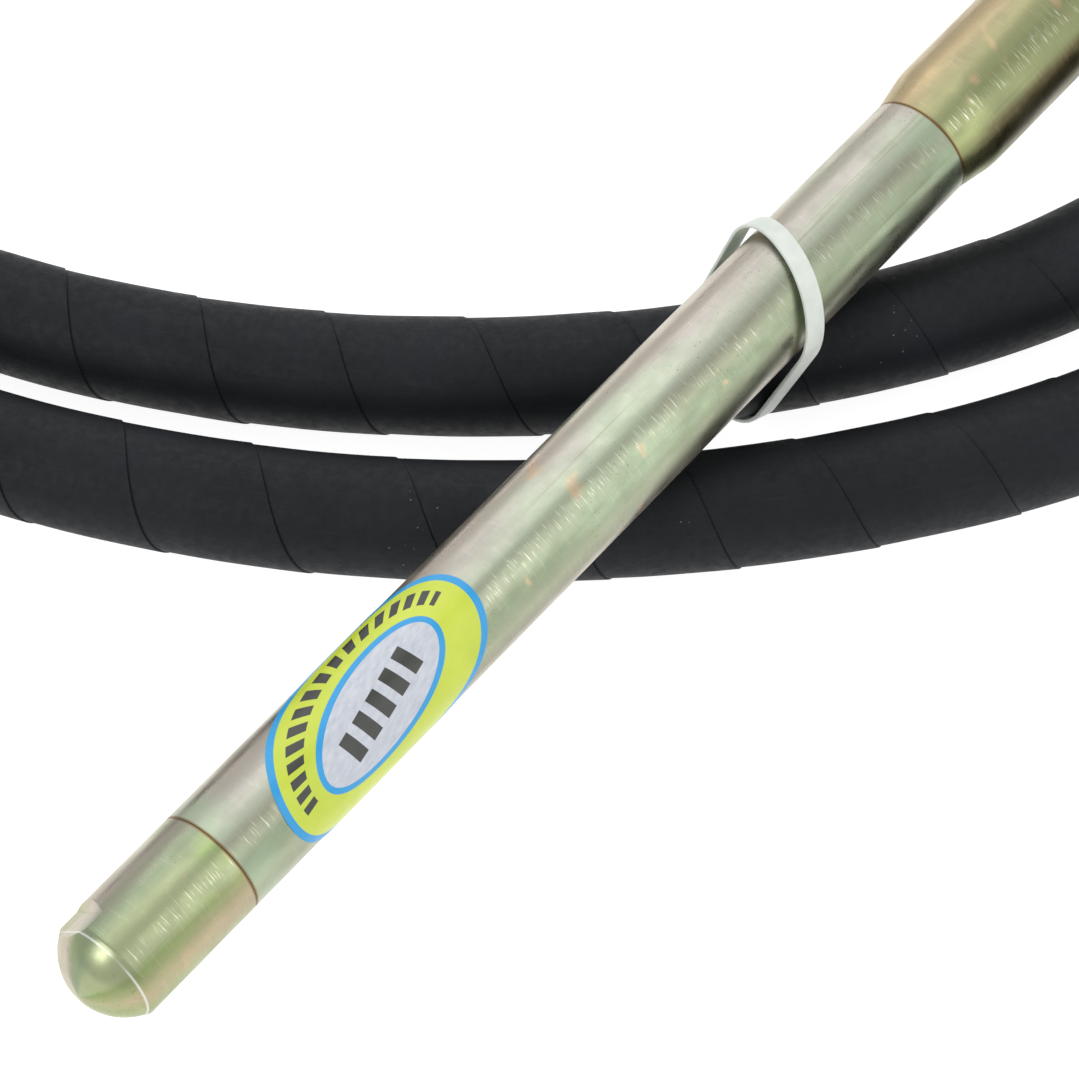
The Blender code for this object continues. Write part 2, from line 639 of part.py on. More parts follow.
def curve_through(name, points, radius):
    curve = bpy.data.curves.new(name, "CURVE")
    curve.dimensions = "3D"
    curve.bevel_depth = radius
    curve.bevel_resolution = 4
    curve.use_fill_caps = True
    spline = curve.splines.new("POLY")
    spline.points.add(len(points) - 1)
    for target, point in zip(spline.points, points):
        target.co = (*point, 1)
    return curve


def add_hose():
    points = hose_line(1.8 * HOSE_DIAMETER)
    curve = curve_through("drive_hose", points, HOSE_R)
    add_piece("drive_hose", curve, HOSE_RUBBER, None, Matrix.Identity(4))
    return points


# Cable tie. Its loop is flat, and leans over a little with the turn of hose that it holds.


def hull(points):
    """The convex outline round flat points, counter-clockwise."""
    def half(ordered):
        chain = []
        for p in ordered:
            while len(chain) > 1 and (chain[-1] - chain[-2]).cross(p - chain[-2]) <= 0:
                chain.pop()
            chain.append(p)
        return chain[:-1]

    ordered = sorted(points, key=lambda p: (p.x, p.y))
    return half(ordered) + half(ordered[::-1])


def tie_frame():
    """The leaning tie's place. X is level, Y is height and leans as it climbs, Z is the strap's width."""
    level = Vector((math.cos(TIE_DIRECTION), math.sin(TIE_DIRECTION), 0))
    climb = Vector((TIE_LEAN_X, TIE_LEAN_Y, 1))
    axes = Matrix((level, climb, Vector((level.y, -level.x, 0)))).transposed().to_4x4()
    return Matrix.Translation((HEAD_END_X - TIE_BACK, TIE_SIDE, -HEAD_ON_HOSE / 2)) @ axes


def tie_section(frame, offset, through, direction, radius):
    """Where a round bar of this radius crosses the tie, this far along the strap's width."""
    side = direction.cross(Vector((0, 0, 1))).normalized()
    up = side.cross(direction)
    inverse = frame.inverted()
    pace = inverse.to_3x3() @ direction
    points = []
    for k in range(ROUND):
        angle = math.tau * k / ROUND
        edge = inverse @ (through + radius * (math.cos(angle) * side + math.sin(angle) * up))
        points.append((edge + (offset - edge.z) / pace.z * pace).xy)
    return points


def crossing_under_head(line):
    """Where a line of points passes under the head at the tie, and which way it runs there."""
    centre = Vector((HEAD_END_X - TIE_BACK, TIE_SIDE))
    low = [(a, b) for a, b in zip(line, line[1:]) if max(a.z, b.z) < -HEAD_R]
    a, b = min(low, key=lambda ends: ((ends[0] + ends[1]).xy / 2 - centre).length)
    along = (centre - a.xy).dot((b - a).xy) / (b - a).xy.length_squared
    return a.lerp(b, min(max(along, 0), 1)), (b - a).normalized()


def tie_outline(frame, head_slack, hose_slack, hose_points):
    """The convex outline round head and hose that clears them along the strap's whole width."""
    middle, direction = crossing_under_head(hose_points)
    points = []
    for offset in (-TIE_WIDTH / 2, TIE_WIDTH / 2):
        points += tie_section(frame, offset, Vector((0, 0, 0)), Vector((1, 0, 0)), HEAD_R + head_slack)
        points += tie_section(frame, offset, middle, direction, HOSE_R + hose_slack)
    return hull(points)


def add_tie(hose_points):
    frame = tie_frame()
    inner = tie_outline(frame, TIE_SLACK, FIT_GAP, hose_points)
    outer = tie_outline(frame, TIE_SLACK + TIE_THICKNESS, FIT_GAP + TIE_THICKNESS, hose_points)
    curve = bpy.data.curves.new("tie_band", "CURVE")
    curve.dimensions = "2D"
    curve.fill_mode = "BOTH"
    curve.extrude = TIE_WIDTH / 2
    for outline in (outer, inner):
        spline = curve.splines.new("POLY")
        spline.use_cyclic_u = True
        spline.points.add(len(outline) - 1)
        for target, point in zip(spline.points, outline):
            target.co = (point.x, point.y, 0, 1)
    guide = add_cutter("tie_band", curve, None)
    graph = bpy.context.evaluated_depsgraph_get()
    mesh = bpy.data.meshes.new_from_object(guide.evaluated_get(graph))
    shape = bmesh.new()
    shape.from_mesh(mesh)
    bmesh.ops.remove_doubles(shape, verts=shape.verts, dist=MERGE)
    bmesh.ops.transform(shape, verts=shape.verts, matrix=frame)
    bmesh.ops.recalc_face_normals(shape, faces=shape.faces)
    shape.to_mesh(mesh)
    shape.free()
    bpy.data.objects.remove(guide)
    tie = add_piece("cable_tie", mesh, NYLON, None, Matrix.Identity(4))
    tall, wide, deep = TIE_HEAD
    # The lock lies on the strap where the strap faces this way, low beside the hose.
    outward = Vector((math.cos(TIE_HEAD_TURN), math.sin(TIE_HEAD_TURN)))
    touch = max(outer, key=outward.dot)
    lock = box_mesh("tie_lock", (deep, tall, wide), (deep / 2 - TIE_THICKNESS / 3, 0, 0))
    lock.transform(frame @ Matrix.Translation(touch.to_3d()) @ Matrix.Rotation(TIE_HEAD_TURN, 4, "Z"))
    combine(tie, add_cutter("tie_lock", lock, None), "UNION")


# Machine end. Its pieces stand on the hose's end face, one after the other along the hose's last direction.


def add_ferrule():
    seat = HOSE_R + HOSE_SEAT_GAP
    outer = seat + FERRULE_WALL
    throat = END_SPIGOT_R + FIT_GAP
    low = -HOSE_SOCKET
    profile = [
        (outer - EDGE, FERRULE_LENGTH), (outer, FERRULE_LENGTH - FERRULE_SLOPE), (outer, low + SMALL_EDGE),
        (outer - FINE_EDGE, low), (seat, low), (seat, FACE_GAP), (throat, FACE_GAP),
        (throat, FERRULE_LENGTH),
    ]
    add_turned("machine_end_ferrule", [(r, z - low) for r, z in profile], STEEL_ZINC, MACHINE_END, low)


def add_end_body():
    rear_collar = FERRULE_LENGTH + FACE_GAP
    front_collar = END_RING_Z - END_COLLAR_LENGTH
    groove_low, groove_high = END_RING_Z - FACE_GAP, END_RING_Z + RING_THICKNESS + FACE_GAP
    groove_r = END_SEAT_R + RING_GROOVE
    profile = [
        (END_NOSE_R, END_FACE), (END_NOSE_R, END_RING_Z), (END_COLLAR_R, END_RING_Z),
        (END_COLLAR_R, front_collar), (END_NECK_R, front_collar),
        (END_NECK_R, rear_collar + END_COLLAR_LENGTH),
        (END_COLLAR_R, rear_collar + END_COLLAR_LENGTH), (END_COLLAR_R, rear_collar),
        (END_SPIGOT_R, rear_collar), (END_SPIGOT_R, END_SPIGOT_START), (END_BORE_R, END_SPIGOT_START),
        (END_BORE_R, END_BUSH_Z - FACE_GAP), (END_SEAT_R, END_BUSH_Z - FACE_GAP), (END_SEAT_R, groove_low),
        (groove_r, groove_low), (groove_r, groove_high), (END_SEAT_R, groove_high), (END_SEAT_R, END_FACE),
    ]
    start = END_SPIGOT_START
    add_turned("machine_end_body", [(r, z - start) for r, z in profile], STEEL_ZINC, MACHINE_END, start)
    bush = ring_profile(END_SEAT_R - FIT_GAP, SPINDLE_R + FIT_GAP, END_BUSH_LENGTH)
    add_turned("spindle_bush", bush, BRONZE, MACHINE_END, END_BUSH_Z)
    ring = ring_profile(groove_r - FIT_GAP, SPINDLE_R + RING_ROOM, RING_THICKNESS)
    add_turned("spindle_retaining_ring", ring, STEEL_BRIGHT, MACHINE_END, END_RING_Z)


def add_spindle():
    """A round spindle in the bush, with a flange behind it and a square that the motor turns."""
    flange_top = END_BUSH_Z - 2 * FACE_GAP
    tip_r = SPINDLE_SQUARE / 2 - FINE_EDGE
    tip = END_FACE + SPINDLE_TAPER
    start = SPINDLE_START
    profile = [(0, tip), (tip_r, tip), (SPINDLE_R, END_FACE), (SPINDLE_R, start), (0, start)]
    profile = [(r, z - start) for r, z in profile]
    spindle = add_turned("drive_spindle", profile, STEEL_BRIGHT, SPINDLE, start)
    middle = END_FACE - EDGE + SPINDLE_REACH / 2
    square = box_mesh("spindle_square", (SPINDLE_SQUARE, SPINDLE_SQUARE, SPINDLE_REACH), (0, 0, middle))
    flange = disc_mesh("spindle_flange", END_BORE_R - 2 * FIT_GAP, SPINDLE_FLANGE)
    flange.transform(Matrix.Translation((0, 0, flange_top - SPINDLE_FLANGE)))
    combine(spindle, add_cutter("spindle_square", square, SPINDLE), "UNION")
    combine(spindle, add_cutter("spindle_flange", flange, SPINDLE), "UNION")


def add_union_nut():
    """The nut turns freely on the body's neck, and its inner flange catches behind the front collar."""
    hole = END_NECK_R + 2 * FIT_GAP
    profile = [
        (NUT_R - EDGE, NUT_LENGTH), (NUT_R, NUT_LENGTH - EDGE), (NUT_R, EDGE), (NUT_R - EDGE, 0),
        (hole, 0), (hole, NUT_FLANGE), (NUT_BORE_R, NUT_FLANGE), (NUT_BORE_R, NUT_LENGTH),
    ]
    nut = add_turned("union_nut", profile, STEEL_ZINC, NUT, NUT_Z, ROUND)
    scallop = bpy.data.meshes.new("nut_scallops")
    shape = bmesh.new()
    for k in range(NUT_SCALLOPS):
        spot = Matrix.Rotation(math.tau * k / NUT_SCALLOPS, 4, "Z")
        out = NUT_R + NUT_SCALLOP_DIAMETER * NUT_SCALLOP_OUT
        reach = Matrix.Translation((out, 0, NUT_Z + NUT_LENGTH / 2))
        bmesh.ops.create_cone(
            shape, cap_ends=True, segments=12, radius1=NUT_SCALLOP_DIAMETER / 2,
            radius2=NUT_SCALLOP_DIAMETER / 2, depth=NUT_LENGTH - 2 * NUT_SCALLOP_FROM_END,
            matrix=spot @ reach,
        )
    shape.to_mesh(scallop)
    shape.free()
    combine(nut, add_cutter("nut_scallops", scallop, NUT), "DIFFERENCE")


clear_scene()
PARTS = make_collection(COLLECTION)
CUTTERS = make_collection("cutters")

# Holders stand where things turn: the head's axis lies along +X, so the holder's own Z points that way.
HEAD_AXIS = Matrix.Rotation(math.pi / 2, 4, "Y")
HEAD = add_empty("head_axis", HEAD_AXIS)
ROTOR = add_empty("rotor_axis", HEAD_AXIS)
FRONT_CAGE = add_empty("front_cage_axis", HEAD_AXIS)
REAR_CAGE = add_empty("rear_cage_axis", HEAD_AXIS)

add_nose()
add_tube()
add_bearing("front", FRONT_BEARING_X, ROTOR, FRONT_CAGE)
add_bearing("rear", REAR_BEARING_X, ROTOR, REAR_CAGE)
add_rotor()
add_head_fittings()
add_core()
add_hose_coupling()
add_label()
HOSE_POINTS = add_hose()
add_tie(HOSE_POINTS)

END_DIRECTION = (HOSE_POINTS[-1] - HOSE_POINTS[-2]).normalized()
END_AXIS = Matrix.Translation(HOSE_POINTS[-1]) @ END_DIRECTION.to_track_quat("Z", "Y").to_matrix().to_4x4()
MACHINE_END = add_empty("machine_end_axis", END_AXIS)
SPINDLE = add_empty("spindle_axis", END_AXIS)
NUT = add_empty("union_nut_axis", END_AXIS)
add_ferrule()
add_end_body()
add_spindle()
add_union_nut()
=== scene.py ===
"""Looks of a flexible-shaft concrete vibrator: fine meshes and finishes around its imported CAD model.

Metres, in the CAD's frame: +X runs along the vibrating head from its nose to its hose coupling.
"""

import json
import math

import bmesh
import bpy
from mathutils import Matrix, Vector, noise


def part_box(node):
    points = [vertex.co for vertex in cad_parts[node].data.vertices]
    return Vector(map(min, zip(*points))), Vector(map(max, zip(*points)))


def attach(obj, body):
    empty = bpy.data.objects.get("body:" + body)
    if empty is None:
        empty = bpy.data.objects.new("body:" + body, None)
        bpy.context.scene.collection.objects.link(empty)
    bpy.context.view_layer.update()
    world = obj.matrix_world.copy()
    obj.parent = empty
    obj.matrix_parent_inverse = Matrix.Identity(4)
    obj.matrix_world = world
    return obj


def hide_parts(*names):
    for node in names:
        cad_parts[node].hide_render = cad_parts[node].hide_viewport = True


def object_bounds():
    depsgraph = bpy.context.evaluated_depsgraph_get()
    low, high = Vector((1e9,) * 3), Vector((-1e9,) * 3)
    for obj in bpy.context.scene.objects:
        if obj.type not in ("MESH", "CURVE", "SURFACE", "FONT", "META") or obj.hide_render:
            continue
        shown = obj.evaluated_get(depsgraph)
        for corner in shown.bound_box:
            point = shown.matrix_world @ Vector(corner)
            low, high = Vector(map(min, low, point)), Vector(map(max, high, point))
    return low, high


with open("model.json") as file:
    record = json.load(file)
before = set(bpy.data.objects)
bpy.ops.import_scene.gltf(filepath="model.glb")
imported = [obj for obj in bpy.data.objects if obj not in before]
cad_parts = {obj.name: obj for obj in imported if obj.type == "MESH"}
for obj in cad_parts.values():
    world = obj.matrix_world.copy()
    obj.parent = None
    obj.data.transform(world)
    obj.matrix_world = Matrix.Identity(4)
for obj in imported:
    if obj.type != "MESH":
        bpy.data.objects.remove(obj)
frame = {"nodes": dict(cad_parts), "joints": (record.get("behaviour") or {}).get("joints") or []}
CAD_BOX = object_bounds()

MM = 0.001

# The head, from its CAD boxes.
TIP_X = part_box("nose_cap")[0].x
TUBE_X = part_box("vibrator_tube")[0].x
TUBE_END_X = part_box("vibrator_tube")[1].x
COUPLING_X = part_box("hose_coupling")[0].x
HEAD_END_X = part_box("hose_coupling")[1].x
HEAD_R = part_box("vibrator_tube")[1].z
SLEEVE_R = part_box("hose_coupling")[1].z
FLOOR_Z = CAD_BOX[0].z
FACE_GAP = 0.3 * MM
SEAM_X = TUBE_X - FACE_GAP
SEAM_LINE = 0.1 * MM
DOME_HEIGHT = 8 * MM
SPIGOT_R = 11.9 * MM
SPIGOT_SEAT_R = 12 * MM
BEARING_SEAT_R = 11 * MM
BORE_R = 10 * MM
COUPLING_TAPER = 11.5 * MM
HOSE_SOCKET = 12 * MM
HEAD_SIDES = 192

# The hose and its route.
HOSE_DIAMETER = 29.5 * MM
HOSE_R = HOSE_DIAMETER / 2
TIE_THICKNESS = 1.1 * MM
TIE_UNDER_HOSE = TIE_THICKNESS + FACE_GAP
HEAD_ON_HOSE = HEAD_R + FACE_GAP + HOSE_R
HOSE_START_X = HEAD_END_X - HOSE_SOCKET
HOSE_Z = FLOOR_Z + HOSE_R
END_Z = -25.7 * MM
COIL_DIRECTION = math.radians(-50)
COIL_BACK = 62.5 * MM
COIL_ASIDE = 168 * MM
COIL_HALF_LENGTH = 239 * MM
COIL_HALF_WIDTH = 171 * MM
COIL_SIDE_GAP = 12.5 * MM
COIL_FRONT_GAP = 16.5 * MM
COIL_DRIFT_ALONG = 9 * MM
COIL_DRIFT_ACROSS = 4 * MM
COIL_SQUARENESS = 3 * MM
COIL_STEPS = 36
COIL_FIRST_TURN = -0.5
COIL_POINTS = 68
RAISE_POINTS = 5

# From the head's coupling round to the coil: the way past the coupling and the way aside, in millimetres,
# and the share of the drop.
LEAD_IN = [
    (8, 0, 0),
    (29, 1.5, 0.01),
    (63, 11.5, 0.10),
    (98.5, 38, 0.28),
    (122, 78, 0.50),
    (128.5, 120.5, 0.72),
    (122.5, 160.5, 0.89),
    (105.5, 200.5, 0.98),
    (78.5, 236, 1),
]

# The hose's outside is a band wound round it, whose edges show as a helix of fine steps.
WRAP_PITCH = 34.2 * MM
WRAP_PHASE = 0.35
WRAP_STEP = 0.34 * MM
WRAP_GROOVE = 0.16 * MM
WRAP_ROWS = (0, 0.012, 0.03, 0.07, 0.15, 0.28, 0.42, 0.56, 0.7, 0.83, 0.93, 0.98, 0.994)
HOSE_SIDES = 64
HOSE_LUMPS = 0.16 * MM

# Cable tie.
TIE_WIDTH = 4.8 * MM
TIE_SLACK = 1.3 * MM
TIE_HOSE_SLACK = 0.1 * MM
TIE_BACK = 136 * MM
TIE_SIDE = 4.8 * MM
TIE_DIRECTION = math.radians(70)
TIE_LEAN_X = 0.14
TIE_LEAN_Y = -0.3
TIE_HEAD = (7 * MM, 7 * MM, 4.5 * MM)
TIE_HEAD_TURN = math.radians(-45)
TIE_STATIONS = 220

# Label, an oval sticker on the tube. Its sizes are those of the printed ovals.
LABEL_LENGTH = 72.5 * MM
LABEL_WIDTH = 45 * MM
LABEL_MIDDLE_LENGTH = 48 * MM
LABEL_MIDDLE_WIDTH = 21.8 * MM
LABEL_FROM_SEAM = 51 * MM
LABEL_TURN = math.radians(119.5)
LABEL_SKEW = math.radians(-13)
LABEL_LOW = 0.04 * MM
LABEL_HIGH = 0.2 * MM

# Machine end, measured along it from the hose's end.
END_SIDES = 160
NUT_LOW = 51 * MM
NUT_HIGH = 87 * MM
NUT_R = 19.5 * MM
NUT_BORE_R = 16 * MM
NUT_THREAD_PITCH = 2 * MM
NUT_THREAD_DEPTH = 0.9 * MM
NUT_SCALLOPS = 8
NUT_SCALLOP_R = 3.5 * MM
NUT_SCALLOP_OUT = 1.96 * MM


# Camera, floor and light.

CAMERA_LENS = 154.54
CAMERA_PLACE = (-0.46665, -0.36623, 0.92481)
CAMERA_DOWN = math.radians(58.539)
CAMERA_TURN = math.radians(-49.869)
LIGHT_DISTANCE = 1.7
NOSE_LIGHT_DISTANCE = 1.6
WORLD_COLOR = (0.97, 0.985, 1, 1)
WORLD_STRENGTH = 0.86


def add_camera():
    data = bpy.data.cameras.new("camera")
    data.lens = CAMERA_LENS
    data.sensor_width = 36
    data.clip_start = 0.01
    data.clip_end = 50
    camera = bpy.data.objects.new("camera", data)
    bpy.context.scene.collection.objects.link(camera)
    camera.location = CAMERA_PLACE
    camera.rotation_euler = (math.pi / 2 - CAMERA_DOWN, 0, CAMERA_TURN)
    bpy.context.scene.camera = camera


def add_softbox(name, direction, distance, size, brightness):
    """A rectangular soft light that faces the middle of the head. Brightness is what its face looks like."""
    data = bpy.data.lights.new(name, "AREA")
    data.shape = "RECTANGLE"
    data.size, data.size_y = size
    data.energy = brightness * math.pi * size[0] * size[1]
    lamp = bpy.data.objects.new(name, data)
    bpy.context.scene.collection.objects.link(lamp)
    lamp.location = Vector(direction).normalized() * distance
    lamp.rotation_euler = Vector(direction).to_track_quat("Z", "X").to_euler()


def add_studio():
    world = bpy.data.worlds.new("studio")
    bpy.context.scene.world = world
    world.use_nodes = True
    world.node_tree.nodes["Background"].inputs["Color"].default_value = WORLD_COLOR
    world.node_tree.nodes["Background"].inputs["Strength"].default_value = WORLD_STRENGTH
    add_softbox("back_softbox", (0.40, 0.50, 0.77), LIGHT_DISTANCE, (2.2, 1.25), 1.0)
    add_softbox("front_softbox", (0.38, -0.77, 0.5), LIGHT_DISTANCE, (2.2, 0.7), 1.05)
    add_softbox("nose_softbox", (-0.82, 0.16, 0.68), NOSE_LIGHT_DISTANCE, (0.65, 0.55), 4.2)
    bpy.context.scene.view_settings.view_transform = "Standard"


def add_floor():
    mesh = bpy.data.meshes.new("floor")
    shape = bmesh.new()
    bmesh.ops.create_grid(shape, x_segments=4, y_segments=4, size=6)
    shape.to_mesh(mesh)
    shape.free()
    floor = bpy.data.objects.new("floor", mesh)
    bpy.context.scene.collection.objects.link(floor)
    floor.location.z = FLOOR_Z - 0.1 * MM
    look = Look("floor_white")
    look.set("Base Color", (0.3, 0.3, 0.3, 1))
    look.set("Roughness", 0.9)
    look.set("Specular IOR Level", 0.1)
    look.set("Emission Color", (1, 1, 1, 1))
    look.set("Emission Strength", 0.92)
    mesh.materials.append(look.material)


# Materials.


class Look:
    """One material, and short ways to add and link its nodes."""

    def __init__(self, name):
        self.material = bpy.data.materials.new(name)
        self.material.use_nodes = True
        self.tree = self.material.node_tree
        self.surface = self.tree.nodes["Principled BSDF"]

    def node(self, kind, **settings):
        made = self.tree.nodes.new(kind)
        for name, value in settings.items():
            setattr(made, name, value)
        return made

    def feed(self, socket, value):
        if isinstance(value, bpy.types.NodeSocket):
            self.tree.links.new(value, socket)
        else:
            socket.default_value = value

    def set(self, name, value):
        self.feed(self.surface.inputs[name], value)

    def place(self):
        """Position on the piece, in metres."""
        return self.node("ShaderNodeTexCoord").outputs["Object"]

    def flat_place(self, name):
        return self.node("ShaderNodeUVMap", uv_map=name).outputs["UV"]

    def parts(self, vector):
        split = self.node("ShaderNodeSeparateXYZ")
        self.feed(split.inputs[0], vector)
        return split.outputs[:3]

    def math(self, operation, a, b=0.0, c=0.0):
        made = self.node("ShaderNodeMath", operation=operation)
        for socket, value in zip(made.inputs, (a, b, c)):
            self.feed(socket, value)
        return made.outputs[0]

    def times(self, a, b):
        return self.math("MULTIPLY", a, b)

    def plus(self, a, b):
        return self.math("ADD", a, b)

    def apart(self, a, b):
        return self.math("ABSOLUTE", self.math("SUBTRACT", a, b))

    def stretch(self, vector, amounts):
        made = self.node("ShaderNodeVectorMath", operation="MULTIPLY")
        self.feed(made.inputs[0], vector)
        self.feed(made.inputs[1], amounts)
        return made.outputs[0]

    def noise(self, vector, scale, detail=3.0, roughness=0.55, distortion=0.0):
        made = self.node("ShaderNodeTexNoise")
        self.feed(made.inputs["Vector"], vector)
        self.feed(made.inputs["Scale"], scale)
        self.feed(made.inputs["Detail"], detail)
        self.feed(made.inputs["Roughness"], roughness)
        self.feed(made.inputs["Distortion"], distortion)
        return made.outputs[0]

    def cells(self, vector, scale):
        """Distance to the nearest of many scattered points."""
        made = self.node("ShaderNodeTexVoronoi")
        self.feed(made.inputs["Vector"], vector)
        self.feed(made.inputs["Scale"], scale)
        return made.outputs["Distance"]

    def between(self, value, low, high, new_low=0.0, new_high=1.0):
        """The value moved from one range to another, smoothly and within it."""
        made = self.node("ShaderNodeMapRange", interpolation_type="SMOOTHSTEP")
        for socket, number in zip(made.inputs, (value, low, high, new_low, new_high)):
            self.feed(socket, number)
        return made.outputs[0]

    def ramp(self, value, stops):
        made = self.node("ShaderNodeValToRGB")
        ramp = made.color_ramp
        while len(ramp.elements) < len(stops):
            ramp.elements.new(0.5)
        for element, (position, color) in zip(ramp.elements, stops):
            element.position = position
            element.color = color
        self.feed(made.inputs[0], value)
        return made.outputs[0]

    def mix(self, share, a, b, blend="MIX"):
        made = self.node("ShaderNodeMix", data_type="RGBA", blend_type=blend)
        self.feed(made.inputs[0], share)
        self.feed(made.inputs[6], a)
        self.feed(made.inputs[7], b)
        return made.outputs[2]

    def bump(self, height, distance, strength=1.0):
        made = self.node("ShaderNodeBump")
        self.feed(made.inputs["Strength"], strength)
        self.feed(made.inputs["Distance"], distance)
        self.feed(made.inputs["Height"], height)
        self.set("Normal", made.outputs[0])


def rgb(red, green, blue):
    """A linear opaque colour from the usual 0 to 255 values, as a shader takes it."""
    def linear(value):
        share = value / 255
        return share / 12.92 if share <= 0.04045 else ((share + 0.055) / 1.055) ** 2.4

    return linear(red), linear(green), linear(blue), 1


# Where round the axis the plating's turning marks get most of their painted glint, as a share of a turn.
GLINT_STRIP_TURN = 0.328
CREASE_HIGHLIGHT_GREY = rgb(214, 216, 208)
SEAM_BROWN = rgb(128, 100, 66)


def zinc_look(name, bands, patches, patch_share, stain, seam_places=(), crease=None):
    """Zinc plate with a yellow passivation film, whose thickness varies and so its colour.

    bands are colours round the axis, starting at the frame's +Y and turning over the top: film tints with
    painted reflections, whose light and dark stops stand in for highlights and dark reflections. patches is
    the colour that lies over them in clouds. A crease is an edge across the piece: it has a painted
    highlight, and no painted glints of turning marks come before it.
    """
    look = Look(name)
    place = look.place()
    x, y, z = look.parts(place)
    cloud = look.noise(look.stretch(place, (1, 1, 0.35)), 42, 4, 0.6)
    fine_cloud = look.noise(look.stretch(place, (1, 1, 0.6)), 170, 4, 0.6)
    turn = look.math("ARCTAN2", look.times(x, -1), y)
    turn = look.times(turn, 1 / math.tau)
    turn = look.plus(turn, look.times(look.math("SUBTRACT", cloud, 0.5), 0.05))
    # Film tint with painted reflections: light and dark colours set round the axis stand in for highlights
    # and dark reflections.
    color = look.ramp(look.math("FRACT", turn), bands)
    color = look.mix(look.between(cloud, 0.44, 0.66, 0, patch_share), color, patches)
    blotch = look.noise(place, 95, 2, 0.5, 0.4)
    color = look.mix(look.between(blotch, 0.66, 0.76, 0, 0.55), color, stain)
    color = look.mix(look.between(fine_cloud, 0.3, 0.7, 0.0, 0.16), color, rgb(120, 128, 104))
    # Dark green pinholes in the film, in some places only.
    pinholes = look.between(look.cells(place, 700), 0.10, 0.17, 1, 0)
    pinholes = look.times(pinholes, look.between(look.noise(place, 28, 2), 0.53, 0.6))
    color = look.mix(look.times(pinholes, 0.6), color, rgb(92, 112, 78))
    # Turning marks run round the piece, each for a short way only. Their light colour is a painted glint,
    # laid mostly in one narrow band along the piece where the highlight falls.
    marks = look.noise(look.stretch(place, (170, 170, 2600)), 1, 2, 0.6)
    glint_strip = look.between(look.apart(turn, GLINT_STRIP_TURN), 0.012, 0.03, 1, 0.12)
    if crease is not None:
        glint_strip = look.times(glint_strip, look.between(z, crease, crease + 2 * MM))
    painted_glint_marks = look.times(look.between(marks, 0.56, 0.7), glint_strip)
    color = look.mix(look.times(painted_glint_marks, 0.6), color, rgb(232, 234, 214))
    # Drawing marks run straight along it.
    draws = look.noise(look.stretch(place, (520, 520, 5)), 1, 3, 0.6)
    color = look.mix(look.between(draws, 0.6, 0.74, 0, 0.45), color, rgb(112, 104, 82))
    if crease is not None:
        # Painted highlight: a thin light-grey ring along the crease stands in for the glint on its edge.
        away = look.apart(z, crease)
        painted_crease_highlight = look.between(away, 0.12 * MM, 0.3 * MM, 0.85, 0)
        painted_crease_highlight = look.times(painted_crease_highlight, look.between(cloud, 0.38, 0.5))
        color = look.mix(painted_crease_highlight, color, CREASE_HIGHLIGHT_GREY)
    for middle in seam_places:
        # The film is greener beside a joint and thin and brown at its very edge.
        away = look.apart(z, middle)
        film = look.times(look.between(away, 3 * MM, 15 * MM), -1)
        film = look.times(look.plus(film, 1), look.between(cloud, 0.42, 0.56))
        color = look.mix(look.times(film, patch_share), color, patches)
        color = look.mix(look.between(away, 0.3 * MM, 0.6 * MM, 0.8, 0), color, SEAM_BROWN)
    look.set("Base Color", color)
    look.set("Metallic", 0.92)
    haze = look.between(fine_cloud, 0.25, 0.75, 0.24, 0.40)
    look.set("Roughness", look.math("SUBTRACT", haze, look.times(painted_glint_marks, 0.08)))
    height = look.plus(look.times(marks, 0.5), look.times(fine_cloud, 0.5))
    look.bump(height, 0.02 * MM, 0.35)
    return look.material


# The film's shades with painted reflections in them: light and dark colours round each plated piece that
# stand in for highlights and dark reflections, and where they lie as shares of a turn.
SAGE_FILM_AND_REFLECTION = rgb(164, 168, 143)
PINK_FILM_AND_REFLECTION = rgb(194, 182, 168)
GREY_FILM_AND_REFLECTION = rgb(169, 163, 156)
PALE_FILM_AND_REFLECTION = rgb(176, 180, 162)
DIM_FILM_AND_REFLECTION = rgb(151, 150, 131)
MOSS_FILM_AND_REFLECTION = rgb(136, 147, 120)
LEAF_FILM_AND_REFLECTION = rgb(159, 166, 129)
BUFF_FILM_AND_REFLECTION = rgb(182, 166, 138)
STRAW_FILM_AND_REFLECTION = rgb(176, 174, 134)
OLIVE_FILM_AND_REFLECTION = rgb(138, 143, 101)
SAND_FILM_AND_REFLECTION = rgb(186, 165, 127)
DUN_FILM_AND_REFLECTION = rgb(155, 145, 112)
KHAKI_FILM_AND_REFLECTION = rgb(150, 154, 111)
BROWN_FILM_AND_REFLECTION = rgb(98, 87, 58)

